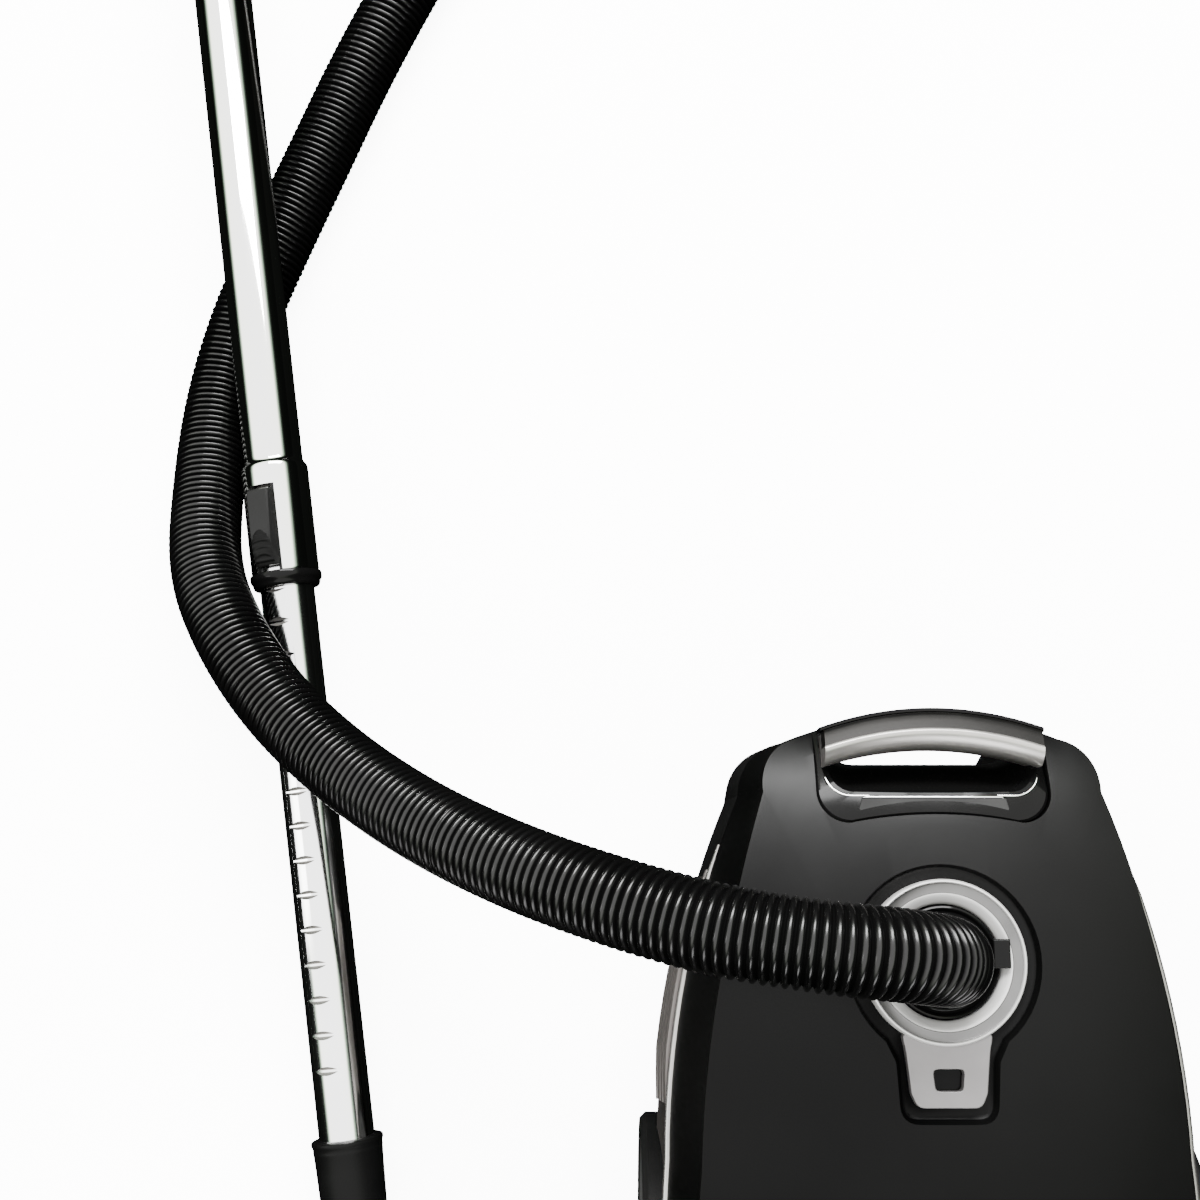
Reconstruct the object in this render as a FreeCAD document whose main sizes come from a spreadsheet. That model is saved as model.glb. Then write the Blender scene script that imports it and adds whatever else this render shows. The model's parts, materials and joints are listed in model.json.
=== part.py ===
import FreeCAD, Part
import Sketcher
import math
import os
import re

# Canister vacuum cleaner: a wheeled canister, a corrugated hose, a telescopic wand and a floor nozzle.
# Row frame: +Z up, +Y towards the canister's front, origin at the middle of the box's base.
# Canister frame: origin on the floor under the hose inlet, +Y towards the carry handle.
# Wand frame: origin on the wand's axis at the top of the nozzle cuff, +Y up along the wand,
# +Z out of the side that carries the telescope button.
# Head frame: origin on the floor under the nozzle's pivot, +Y towards the wand.

V = FreeCAD.Vector
UP = V(0, 0, 1)
ALONG = V(0, 1, 0)
ACROSS = V(1, 0, 0)

DIMENSIONS = {
    # where the three frames stand in the row
    "inlet_across": 153, "inlet_along": -326.5,
    "wand_across": -160.6, "wand_along": -427.6, "wand_height": 32,
    "wand_yaw": 7.4, "wand_pitch": 4, "wand_roll": 20, "head_reach": 150,
    # canister casing
    "half_width": 139, "floor_gap": 20, "waist_height": 112,
    "crown_height": 208, "seam_height": 150, "seam_gap": 0.6, "casing_wall": 3, "skin_wall": 2.2,
    "lid_rear": -258, "cover_front": -265.5,
    "recess_half_width": 55, "recess_depth": 101.5, "recess_lean": 22.7, "recess_wall": 3.5,
    "recess_drop": 4, "cowl_rear": 68.5, "cowl_corner": 16, "cowl_arch": 4.2,
    # carry handle
    "handle_rear": 96.5, "handle_width": 18, "handle_low": 186, "handle_high": 204, "handle_grip_low": 173,
    # hose inlet
    "ring_radius": 40, "ring_bore": 27.9, "ring_low": 201, "ring_high": 210.5, "moat_radius": 48,
    "cuff_radius": 27.4, "cuff_low": 166, "cuff_high": 206.5, "cuff_seat": 200, "cuff_bore": 17,
    # wheels
    "wheel_radius": 75, "wheel_width": 30, "wheel_inner": 116, "wheel_along": -158, "tyre_wall": 9,
    "well_radius": 80, "well_inner": 112, "axle_radius": 6, "running_gap": 0.05,
    "caster_radius": 16, "caster_width": 18, "caster_along": 62, "caster_trail": 12,
    # wand
    "outer_radius": 17.5, "outer_bore": 16.4, "inner_radius": 16, "inner_bore": 14.8,
    "collar_radius": 20, "collar_low": 330, "collar_high": 398, "outer_top": 852,
    "inner_top": 470, "inner_low": -45, "notch_pitch": 20, "notch_first": 40,
    "grip_radius": 19.5, "grip_socket": 76, "grip_bend": 25, "grip_bend_radius": 150,
    "grip_length": 125, "swivel_length": 34, "swivel_radius": 24.5,
    # hose
    "hose_radius": 21.5, "hose_wall": 2.5,
    # floor nozzle
    "head_half_width": 125, "head_front": 78, "head_back": 14, "head_height": 44, "barrel_radius": 19,
    "barrel_half_width": 32, "pivot_height": 21.5,
}

doc = FreeCAD.newDocument("canister_vacuum")
sheet = doc.addObject("Spreadsheet::Sheet", "Sheet")
for row, (name, number) in enumerate(DIMENSIONS.items(), 1):
    sheet.set(f"A{row}", name)
    sheet.set(f"B{row}", str(number))
    sheet.setAlias(f"B{row}", name)
doc.recompute()
s = sheet
nodes = []


def formula(text):
    """The text with every dimension's name pointed at its cell."""
    def cell(word):
        return "Sheet." + word.group() if word.group() in DIMENSIONS else word.group()

    return re.sub(r"[a-z_]+", cell, str(text))


def bind(thing, **sizes):
    for size, text in sizes.items():
        thing.setExpression(size, formula(text))
    return thing


def turned(axis):
    return FreeCAD.Rotation(UP, V(*axis))


def spot(frame, at, rotation=FreeCAD.Rotation()):
    return frame.multiply(FreeCAD.Placement(V(*at), rotation))


CANISTER = FreeCAD.Placement(V(s.inlet_across, s.inlet_along, 0), FreeCAD.Rotation())
YAW = FreeCAD.Rotation(UP, s.wand_yaw)
TILT = YAW.multiply(FreeCAD.Rotation(ACROSS, s.wand_pitch))
LEAN = TILT.multiply(FreeCAD.Rotation(ALONG, -s.wand_roll))
WAND = FreeCAD.Placement(V(s.wand_across, s.wand_along, s.wand_height), LEAN)
PIVOT = WAND.multVec(V(0, -s.head_reach, 0))
HEAD = FreeCAD.Placement(V(PIVOT.x, PIVOT.y, 0), YAW)
NECK = FreeCAD.Placement(WAND.Base, TILT)


# ---------------------------------------------------------------- building blocks

def block(name, frame, at, length, width, height):
    """A box whose lowest corner is at the given place."""
    thing = bind(doc.addObject("Part::Box", name), Length=length, Width=width, Height=height)
    thing.Placement = spot(frame, at)
    return thing


def rod(name, frame, at, axis, radius, height):
    thing = bind(doc.addObject("Part::Cylinder", name), Radius=radius, Height=height)
    thing.Placement = spot(frame, at, turned(axis))
    return thing


def feature(name, shape, frame=FreeCAD.Placement()):
    thing = doc.addObject("Part::Feature", name)
    thing.Shape = shape
    thing.Placement = frame
    return thing


def joined(name, *things):
    thing = doc.addObject("Part::MultiFuse", name)
    thing.Shapes = list(things)
    return thing


def cut(name, base, *tools):
    thing = doc.addObject("Part::Cut", name)
    thing.Base = base
    thing.Tool = tools[0] if len(tools) == 1 else joined(name + "_tools", *tools)
    return thing


def common(name, base, tool):
    thing = doc.addObject("Part::Common", name)
    thing.Base = base
    thing.Tool = tool
    return thing


def softened(name, base, radius, pick=None):
    """The base with its picked edges rounded."""
    doc.recompute()
    thing = doc.addObject("Part::Fillet", name)
    thing.Base = base
    edges = enumerate(base.Shape.Edges, 1)
    thing.Edges = [(number, radius, radius) for number, edge in edges if pick is None or pick(edge)]
    return thing


def node(name, thing):
    """Marks a finished piece: its label is the name of its file."""
    thing.Label = name
    nodes.append(thing)
    return thing


def plane(body, role):
    return next(item for item in body.Origin.OriginFeatures if item.Role == role)


def disc(name, frame, at, axis, radius, length, bore=None, edge=None):
    """A round body padded from a sketch of one or two circles, with its outer rims chamfered."""
    body = doc.addObject("PartDesign::Body", name)
    sketch = body.newObject("Sketcher::SketchObject", name + "_sketch")
    sketch.AttachmentSupport = [(plane(body, "XY_Plane"), "")]
    sketch.MapMode = "FlatFace"
    for size in [radius] + ([bore] if bore else []):
        circle = sketch.addGeometry(Part.Circle(V(0, 0, 0), UP, 10), False)
        sketch.addConstraint(Sketcher.Constraint("Coincident", circle, 3, -1, 1))
        number = sketch.addConstraint(Sketcher.Constraint("Radius", circle, 10 if size == radius else 5))
        sketch.setExpression(f"Constraints[{number}]", formula(size))
    pad = bind(body.newObject("PartDesign::Pad", name + "_pad"), Length=length)
    pad.Profile = sketch
    if edge:
        doc.recompute()
        chamfer = body.newObject("PartDesign::Chamfer", name + "_chamfer")
        outer = max(item.Curve.Radius for item in pad.Shape.Edges if hasattr(item.Curve, "Radius"))
        rims = [f"Edge{number}" for number, item in enumerate(pad.Shape.Edges, 1)
                if hasattr(item.Curve, "Radius") and abs(item.Curve.Radius - outer) < 0.01]
        chamfer.Base = (pad, rims)
        bind(chamfer, Size=edge)
    body.Placement = spot(frame, at, turned(axis))
    return body


def spun(name, frame, at, axis, profile):
    """A piece turned about its own axis from (radius, height) corners."""
    corners = [V(radius, 0, height) for radius, height in profile]
    face = Part.Face(Part.makePolygon(corners + corners[:1]))
    return feature(name, face.revolve(V(0, 0, 0), UP, 360), spot(frame, at, turned(axis)))


def prism(name, frame, outline, along, start, length):
    """An outline of (a, b) corners pushed along one axis of its frame."""
    lay = {"x": lambda a, b: V(start, a, b),
           "y": lambda a, b: V(a, start, b),
           "z": lambda a, b: V(a, b, start)}
    push = {"x": ACROSS, "y": ALONG, "z": UP}[along]
    corners = [lay[along](a, b) for a, b in outline]
    face = Part.Face(Part.makePolygon(corners + corners[:1]))
    return feature(name, face.extrude(push * length), frame)


# ---------------------------------------------------------------- canister casing

# half of the casing's plan at its waist, as the ends and middles of arcs, front to rear
PLAN = [(0, 129), (76, 114), (93, 104), (99, 86), (124, 12), (138, -100), (139, -180), (130, -255),
        (118, -290), (85, -304), (0, -311)]
PLAN_MIDDLE = -91
# how the plan narrows at each height: height, share of width, share of length
LEVELS = [(s.floor_gap, 0.90, 0.94), (60, 0.975, 0.985), (s.waist_height, 1.0, 1.0), (214, 0.90, 0.985)]
# the crown along the centre line: place, height
CROWN = [(-325, 170), (-262, 191), (-150, 203), (0, s.crown_height), (70, 201), (110, 186), (134, 160)]
CROWN_FALL = 14
CROWN_REACH = 130


def plan_wire(height, wide, long, inset):
    wide = wide * (1 - inset / s.half_width)
    long = long * (1 - inset / 220)
    right = [V(x * wide, PLAN_MIDDLE + (y - PLAN_MIDDLE) * long, height) for x, y in PLAN]
    left = [V(-point.x, point.y, point.z) for point in right]
    edges = [Part.Arc(left[1], right[0], right[1])]
    edges += [Part.Arc(right[k], right[k + 1], right[k + 2]) for k in range(1, 9, 2)]
    edges += [Part.Arc(right[9], right[10], left[9])]
    edges += [Part.Arc(left[k + 2], left[k + 1], left[k]) for k in range(7, 0, -2)]
    return Part.Wire([edge.toShape() for edge in edges])


def crown_block(drop):
    """Everything under the casing's crowned top, lowered by the drop."""
    sections = []
    for along, height in CROWN:
        top = height - drop
        ends = [V(side * CROWN_REACH * 1.2, along, top - CROWN_FALL * 1.44) for side in (-1, 1)]
        feet = [V(end.x, along, 0) for end in ends]
        edges = [Part.Arc(ends[0], V(0, along, top), ends[1]).toShape(), Part.makeLine(ends[1], feet[1]),
                 Part.makeLine(feet[1], feet[0]), Part.makeLine(feet[0], ends[0])]
        sections.append(Part.Wire(edges))
    return Part.makeLoft(sections, True, False)


def casing(inset, floor=0):
    """The whole casing's outer form, inset by a wall."""
    wires = [plan_wire(height, wide, long, inset) for height, wide, long in LEVELS]
    hull = Part.makeLoft(wires, True, True)
    if floor:
        hull = hull.common(Part.makeBox(400, 600, 300, V(-200, -400, s.floor_gap + floor)))
    return hull.common(crown_block(inset))


def slab(low_x, high_x, low_y, high_y, low_z, high_z):
    return Part.makeBox(high_x - low_x, high_y - low_y, high_z - low_z, V(low_x, low_y, low_z))


def tunnel(half, low_y, grow=0):
    """The way down through the front for the fingers: a sloped wall above, upright below."""
    top_y = low_y - s.recess_lean
    corners = [(low_y, -5), (low_y, s.seam_height), (top_y, 205), (top_y, 240), (160, 240), (160, -5)]
    face = Part.Face(Part.makePolygon([V(-half, y - grow, z) for y, z in corners + corners[:1]]))
    return face.extrude(V(2 * half, 0, 0))


OUTER = casing(0)
INNER = casing(s.casing_wall, s.casing_wall)
SKIN = OUTER.cut(casing(s.skin_wall))
FINGER_WAY = tunnel(s.recess_half_width, s.recess_depth)


def wheel_wells(grow):
    """The round space each big wheel turns in, grown by a wall or by nothing."""
    wells = []
    for side in (-1, 1):
        start = V(side * (s.well_inner - grow), s.wheel_along, s.wheel_radius)
        wells.append(Part.makeCylinder(s.well_radius + grow, 60, start, V(side, 0, 0)))
    return wells


WELLS = wheel_wells(0)
LINERS = wheel_wells(s.casing_wall)
CASTER_WELL = Part.makeCylinder(32, 42, V(0, s.caster_along, 0))
CASTER_LINER = Part.makeCylinder(35, 45, V(0, s.caster_along, 0))
EXHAUST = slab(-70, 70, -330, -290, 66, 122)
BELOW = slab(-200, 200, -400, 200, 0, s.seam_height)


def side_boxes(low_z, high_z, low_y, high_y):
    """The same stretch of both flanks."""
    left = slab(-200, -80, low_y, high_y, low_z, high_z)
    return left.fuse(slab(80, 200, low_y, high_y, low_z, high_z))


def skin_patch(region):
    return SKIN.common(region).cut(WELLS[0]).cut(WELLS[1])


PATCHES = {
    "side_panels": skin_patch(side_boxes(58, 141, -248, 44)),
    "side_trims": skin_patch(side_boxes(141, s.seam_height, -248, 60)),
    "bumper": skin_patch(slab(-200, 200, -60, 200, 34, 50)).cut(FINGER_WAY),
}


def make_base_shell():
    hollow = INNER.common(BELOW.copy())
    for keep in LINERS + [CASTER_LINER, tunnel(s.recess_half_width + s.casing_wall, s.recess_depth,
                                               s.casing_wall)]:
        hollow = hollow.cut(keep)
    shell = OUTER.common(BELOW).cut(hollow)
    for gone in WELLS + [CASTER_WELL, FINGER_WAY, EXHAUST] + list(PATCHES.values()):
        shell = shell.cut(gone)
    shell = shell.cut(Part.makeCylinder(9, 40, V(96, -290, 95), V(0, -1, 0)))
    shell = shell.cut(slab(-16, 16, -330, -298, 28, 50))
    shell = shell.cut(Part.makeCylinder(5.05, 60, V(0, s.caster_along, 30)))
    for side in (-1, 1):
        shell = shell.cut(Part.makeCylinder(s.axle_radius, 8, V(side * 105, s.wheel_along, s.wheel_radius),
                                            V(side, 0, 0)))
    node("base_shell", feature("base_shell", shell, CANISTER))


def make_skins():
    for name, shape in PATCHES.items():
        node(name, feature(name, shape, CANISTER))


def cowl_block(grow, low, high):
    """The handle surround's plan, with round rear corners and a rear edge that arches forward."""
    half = s.recess_half_width + s.recess_wall + grow
    rear, corner = s.cowl_rear - grow, s.cowl_corner
    knee = corner * (1 - math.sqrt(0.5))
    side, foot = V(half, rear + corner, low), V(half - corner, rear, low)
    turn = V(half - knee, rear + knee, low)
    over = [V(-point.x, point.y, low) for point in (side, turn, foot)]
    edges = [Part.makeLine(V(half, 200, low), side), Part.Arc(side, turn, foot).toShape(),
             Part.Arc(foot, V(0, rear + s.cowl_arch, low), over[2]).toShape(),
             Part.Arc(over[2], over[1], over[0]).toShape(), Part.makeLine(over[0], V(-half, 200, low)),
             Part.makeLine(V(-half, 200, low), V(half, 200, low))]
    return Part.Face(Part.Wire(edges)).extrude(V(0, 0, high - low))


def latch_outline(grow):
    """The latch plate's plan: its rear edge follows the surround's."""
    return [(-38 - grow, 81.3 + grow), (38 + grow, 81.3 + grow), (38 + grow, 73 - grow), (0, 77.2 - grow),
            (-38 - grow, 73 - grow)]


def make_cowl():
    """The black surround of the carry handle, with the sloped wall behind the fingers."""
    half = s.recess_half_width + s.recess_wall
    form = casing(s.recess_drop).common(cowl_block(0, s.seam_height, 300))
    inner = casing(s.recess_drop + s.casing_wall).common(slab(-half + 3, half - 3, 72, 160, 0, 300))
    inner = inner.cut(tunnel(s.recess_half_width + s.casing_wall, s.recess_depth, s.casing_wall))
    form = form.cut(inner).cut(FINGER_WAY)
    corners = [V(x, y, 170) for x, y in latch_outline(0.6)]
    seat = Part.Face(Part.makePolygon(corners + corners[:1])).extrude(V(0, 0, 100))
    form = form.cut(seat).cut(slab(-13, 13, 75.8, 81.9, 165, 300))
    node("handle_surround", feature("handle_surround", form, CANISTER))


def bar(grow, low, high):
    """An arched bar across the front, between the walls of the surround."""
    half = s.recess_half_width
    rear, front = s.handle_rear - grow, s.handle_rear + s.handle_width + grow
    edges = [Part.Arc(V(-half, front, low), V(0, front + 9.3, low), V(half, front, low)).toShape(),
             Part.makeLine(V(half, front, low), V(half, rear, low)),
             Part.Arc(V(half, rear, low), V(0, rear + 9, low), V(-half, rear, low)).toShape(),
             Part.makeLine(V(-half, rear, low), V(-half, front, low))]
    return Part.Face(Part.Wire(edges)).extrude(V(0, 0, high - low))


def long_edge_at(height):
    def chosen(edge):
        box = edge.BoundBox
        return edge.Length > 50 and abs(box.ZMax - height) < 0.1 and box.ZLength < 0.1

    return chosen


def make_carry_handle():
    top = feature("handle_bar_form", bar(0, s.handle_low, s.handle_high), CANISTER)
    node("carry_handle", softened("carry_handle", top, 5, long_edge_at(s.handle_high)))
    low = feature("handle_grip_form", bar(-0.6, s.handle_grip_low, s.handle_low), CANISTER)
    node("handle_grip_pad", softened("handle_grip_pad", low, 4, long_edge_at(s.handle_grip_low)))


def make_lid():
    region = slab(-200, 200, s.lid_rear, 200, s.seam_height + s.seam_gap, 300)
    form = OUTER.common(region)
    form = form.cut(INNER).cut(cowl_block(0.6, 0, 300))
    boss = Part.makeCylinder(s.moat_radius + 3, 14, V(0, 0, 193)).common(OUTER)
    boss = boss.fuse(slab(-26.5, 26.5, -79, 0, 193, 230).common(OUTER))
    form = form.fuse(boss)
    moat = Part.makeCylinder(s.moat_radius, 40, V(0, 0, s.ring_low))
    trough = slab(-23.5, 23.5, -76, 0, s.ring_low, 240)
    rear_edges = [edge for edge in trough.Edges if edge.BoundBox.YMax < -75 and edge.BoundBox.ZLength > 10]
    moat = moat.fuse(trough.makeFillet(9, rear_edges))
    form = form.cut(moat).cut(Part.makeCylinder(s.ring_bore, 80, V(0, 0, 150)))
    form = form.cut(slab(-7, 7, -60.5, -50.5, 150, 240))
    for side in (-1, 1):
        near, far = sorted((side * 20, side * 27))
        form = form.fuse(slab(near, far, s.lid_rear + 0.2, s.lid_rear + 5.5, 179, 190).common(OUTER))
        near, far = sorted((side * 29, side * 37))
        form = form.cut(slab(near, far, s.lid_rear - 5, s.lid_rear + 8, 150, 260))
    form = form.cut(Part.makeCylinder(2 + s.running_gap, 70, V(-35, s.lid_rear + 2, 183), V(1, 0, 0)))
    node("lid", feature("lid", form.removeSplitter(), CANISTER))


def make_rear_cover():
    region = slab(-200, 200, -400, s.cover_front, s.seam_height, 300)
    form = OUTER.common(region).cut(INNER.common(slab(-200, 200, -400, s.cover_front - 3, 0, 300)))
    for side in (-1, 1):
        near, far = sorted((side * 30, side * 36))
        arm = slab(near, far, s.cover_front - 2, s.lid_rear + 5, 180, 186)
        form = form.fuse(arm)
        form = form.cut(Part.makeCylinder(11.5, 80, V(side * 78, -285, 150)))
    form = form.cut(slab(-25, 25, -291, -279, 165, 260))
    form = form.cut(Part.makeCylinder(2, 90, V(-45, s.lid_rear + 2, 183), V(1, 0, 0)))
    node("rear_cover", feature("rear_cover", form, CANISTER))
    pin = rod("lid_hinge_pin", CANISTER, (-36, s.lid_rear + 2, 183), (1, 0, 0), 2, 72)
    node("lid_hinge_pin", pin)


def make_buttons():
    for name, side in (("power_button", -1), ("rewind_button", 1)):
        node(name, disc(name, CANISTER, (side * 78, -285, 162), (0, 0, 1), 11, 20, edge=1.5))
    knob = block("power_slider_form", CANISTER, (-9, -290.5, 166), 18, 11, 24)
    node("power_slider", softened("power_slider", knob, 2, lambda edge: edge.BoundBox.ZMin > 185))


def make_latch():
    plate = prism("latch_plate", CANISTER, latch_outline(0), "z", 190, 5.5)
    stem = block("latch_stem", CANISTER, (-12, 76.5, 174), 24, 4.8, 16.5)
    node("lid_latch", joined("lid_latch", plate, stem))


def make_inlet():
    profile = [(s.ring_bore, s.ring_low), (s.ring_bore, 204), (31.5, 208.5), (38.6, s.ring_high),
               (s.ring_radius, 209.3), (s.ring_radius, s.ring_low)]
    ring = spun("ring_form", CANISTER, (0, 0, 0), (0, 0, 1), profile)
    tab = prism("ring_tab", CANISTER, [(-24, -30), (24, -30), (20, -46), (18, -63), (13, -69), (-13, -69),
                                       (-18, -63), (-20, -46)], "z", s.ring_low, 7)
    bore = rod("ring_bore_tool", CANISTER, (0, 0, 190), (0, 0, 1), 36, 40)
    window = block("ring_window_tool", CANISTER, (-7.5, -61, 190), 15, 10.5, 40)
    slot = block("ring_latch_slot", CANISTER, (20, -4, 207), 13, 16, 10)
    tab = cut("ring_tab_open", tab, bore, window)
    node("inlet_ring", cut("inlet_ring", joined("ring_all", ring, tab), slot))
    pane = block("indicator_window", CANISTER, (-7.3, -60.8, s.ring_low), 14.6, 10.1, 1.5)
    node("indicator_window", pane)
    flag = block("flag_form", CANISTER, (-6.5, -60, 194.5), 13, 6, 1.5)
    node("indicator_flag", flag)
    pipe = disc("inlet_pipe", CANISTER, (0, 0, 162), (0, 0, 1), 34, 30.9, bore="cuff_radius + 0.5")
    node("inlet_pipe", pipe)
    seal = disc("inlet_seal", CANISTER, (0, 0, 156.6), (0, 0, 1), 33, 5.4, bore=20)
    node("inlet_seal", seal)
    socket = s.hose_radius + 0.5
    profile = [(s.cuff_bore, s.cuff_low), (s.cuff_radius, s.cuff_low), (s.cuff_radius, s.cuff_high),
               (socket, s.cuff_high), (socket, s.cuff_seat), (s.cuff_bore, s.cuff_seat)]
    node("hose_cuff", spun("hose_cuff", CANISTER, (0, 0, 0), (0, 0, 1), profile))
    lug = block("cuff_latch_form", CANISTER, (23, -3, 207.2), 8.5, 14, 4.2)
    node("cuff_latch", softened("cuff_latch", lug, 0.8, lambda edge: edge.BoundBox.ZMin > 211))


def make_bag_bay():
    bag = block("bag_form", CANISTER, (-80, -52, 50), 160, 118, 98)
    node("dust_bag", softened("dust_bag", bag, 22))
    holder = block("holder_form", CANISTER, (-62, -52, 150.2), 124, 104, 4)
    hole = rod("holder_hole", CANISTER, (0, 0, 140), (0, 0, 1), 22, 30)
    node("bag_holder", cut("bag_holder", holder, hole))
    wall = block("wall_form", CANISTER, (-104, -66, 23), 208, 4, 121)
    port = rod("wall_port", CANISTER, (0, -70, 88), (0, 1, 0), 34, 20)
    node("motor_bulkhead", cut("motor_bulkhead", wall, port))
    node("motor_filter", block("motor_filter", CANISTER, (-45, -61.8, 48), 90, 7, 80))


def make_motor():
    profile = [(4 + s.running_gap, 0), (52, 0), (52, 114), (48, 114), (48, 3), (4 + s.running_gap, 3)]
    node("motor_housing", spun("motor_housing", CANISTER, (0, -180, 88), (0, 1, 0), profile))
    node("motor_stator", disc("motor_stator", CANISTER, (0, -172, 88), (0, 1, 0), 48, 44, bore=28))
    shaft = rod("rotor_shaft", CANISTER, (0, -178, 88), (0, 1, 0), 4, 104)
    core = rod("rotor_core", CANISTER, (0, -170, 88), (0, 1, 0), 26, 40)
    node("motor_rotor", joined("motor_rotor", shaft, core))
    hub = rod("fan_hub", CANISTER, (0, -108, 88), (0, 1, 0), 42, 4)
    blades = []
    for turn in range(8):
        rotation = FreeCAD.Rotation(ALONG, turn * 45)
        blade = doc.addObject("Part::Box", f"fan_blade_{turn}")
        bind(blade, Length=30, Width=14, Height=2)
        reach = FreeCAD.Placement(V(10, 0, -1), FreeCAD.Rotation())
        blade.Placement = spot(CANISTER, (0, -104, 88), rotation).multiply(reach)
        blades.append(blade)
    bore = rod("fan_bore", CANISTER, (0, -120, 88), (0, 1, 0), 4, 40)
    node("motor_fan", cut("motor_fan", joined("fan_all", hub, *blades), bore))


def make_reel():
    """The drum that takes up the mains lead; the lead itself isn't part of this model."""
    axle = rod("reel_axle", CANISTER, (-50, -240, 84), (1, 0, 0), 5, 100)
    profile = [(5 + s.running_gap, -40), (46, -40), (46, -36), (20, -36), (20, 36), (46, 36), (46, 40),
               (5 + s.running_gap, 40)]
    node("cord_reel", spun("cord_reel", CANISTER, (0, -240, 84), (1, 0, 0), profile))
    plates = []
    for side in (-1, 1):
        near = min(side * 42, side * 47)
        plate = block(f"bracket_plate_{side + 1}", CANISTER, (near, -252, 23), 5, 24, 77)
        plates.append(plate)
    node("reel_bracket", joined("reel_bracket", axle, *plates))
    outlet = disc("cord_outlet", CANISTER, (96, -294, 95), (0, -1, 0), 9, 13, bore=4)
    node("cord_outlet", outlet)


def make_exhaust():
    plate = feature("grille_plate", OUTER.common(EXHAUST).cut(casing(s.casing_wall)), CANISTER)
    slots = [block(f"grille_slot_{row}", CANISTER, (-60, -330, 73 + 8 * row), 120, 40, 4)
             for row in range(6)]
    node("exhaust_grille", cut("exhaust_grille", plate, *slots))
    node("exhaust_filter", block("exhaust_filter", CANISTER, (-66, -300, 68), 132, 10, 52))


def make_wheels():
    for hand, side in (("left", -1), ("right", 1)):
        start = side * s.wheel_inner
        at = (start, s.wheel_along, s.wheel_radius)
        axis = (side, 0, 0)
        tyre = disc("tyre_" + hand, CANISTER, at, axis, "wheel_radius", "wheel_width",
                    bore="wheel_radius - tyre_wall", edge=3)
        node("tyre_" + hand, tyre)
        rim = s.wheel_radius - s.tyre_wall
        bore = s.axle_radius + s.running_gap
        face, dish = s.wheel_width - 1, s.wheel_width - 6
        profile = [(bore, 0), (20, 0), (20, 10), (rim - 5, 10), (rim - 5, 0), (rim, 0), (rim, face),
                   (rim - 6, face), (rim - 10, dish), (25, dish), (22, face), (bore, face)]
        node("hub_" + hand, spun("hub_" + hand, CANISTER, at, axis, profile))
    axles = [rod(f"axle_{side + 1}", CANISTER, (side * 109, s.wheel_along, s.wheel_radius), (side, 0, 0),
                 "axle_radius", 34) for side in (-1, 1)]
    node("wheel_axles", joined("wheel_axles", *axles))


def make_caster():
    y = s.caster_along
    plate = rod("fork_plate", CANISTER, (0, y, 34), (0, 0, 1), 27, 4)
    stem = rod("fork_stem", CANISTER, (0, y, 38), (0, 0, 1), 5, 9)
    back = y - s.caster_trail
    arms = [block(f"fork_arm_{k}", CANISTER, (x, back - 6, 10), 3, 12, 24.5)
            for k, x in ((0, -13), (1, 10))]
    axle = rod("caster_axle", CANISTER, (-13, back, s.caster_radius), (1, 0, 0), 2.5, 26)
    node("caster_fork", joined("caster_fork", plate, stem, axle, *arms))
    wheel = disc("caster_wheel", CANISTER, (-9, back, s.caster_radius), (1, 0, 0), "caster_radius",
                 "caster_width", bore="2.5 + running_gap", edge=1.5)
    node("caster_wheel", wheel)


# ---------------------------------------------------------------- wand

def make_tubes():
    profile = [(s.outer_bore, s.collar_low + 55), (s.collar_radius - 1.2, s.collar_low + 55),
               (s.collar_radius - 1.2, s.collar_low), (s.collar_radius, s.collar_low),
               (s.collar_radius, s.collar_high - 9), (s.outer_radius, s.collar_high),
               (s.outer_radius, s.outer_top), (s.outer_bore, s.outer_top)]
    tube = spun("outer_form", WAND, (0, 0, 0), (0, 1, 0), profile)
    slot = block("button_slot", WAND, (-8.2, s.collar_low - 1, 12), 16.4, 53, 20)
    node("outer_tube", cut("outer_tube", tube, slot))
    bush = disc("bush_form", WAND, (0, s.collar_low, 0), (0, 1, 0), "collar_radius - 1.25", 54,
                bore="inner_radius + running_gap")
    keyway = block("bush_slot", WAND, (-6, s.collar_low - 1, 12), 12, 56, 10)
    node("tube_bush", cut("tube_bush", bush, keyway))
    ring = disc("collar_ring", WAND, (0, s.collar_low - 9, 0), (0, 1, 0), 21.2, 9,
                bore="inner_radius + running_gap", edge=1.5)
    node("collar_ring", ring)
    tube = disc("inner_form", WAND, (0, s.inner_low, 0), (0, 1, 0), "inner_radius", "inner_top - inner_low",
                bore="inner_bore")
    notches = []
    count = int((s.inner_top - 30 - s.notch_first) / s.notch_pitch)
    for number in range(count):
        along = s.notch_first + s.notch_pitch * number
        notches.append(rod(f"notch_{number}", WAND, (-12, along, 18.6), (1, 0, 0), 3.6, 24))
    node("inner_tube", cut("inner_tube", tube, *notches))
    toe = s.collar_low + 3
    outline = [(toe, 19.2), (toe, 22), (toe + 17, 26.5), (toe + 42, 26.5), (toe + 46, 24), (toe + 46, 19.2)]
    body = prism("button_form", WAND, outline, "x", -8, 16)
    pawl = block("tube_pawl", WAND, (-4, s.collar_low + 24, 16.3), 8, 6, 4)
    node("telescope_button", joined("telescope_button", body, pawl))


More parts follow.
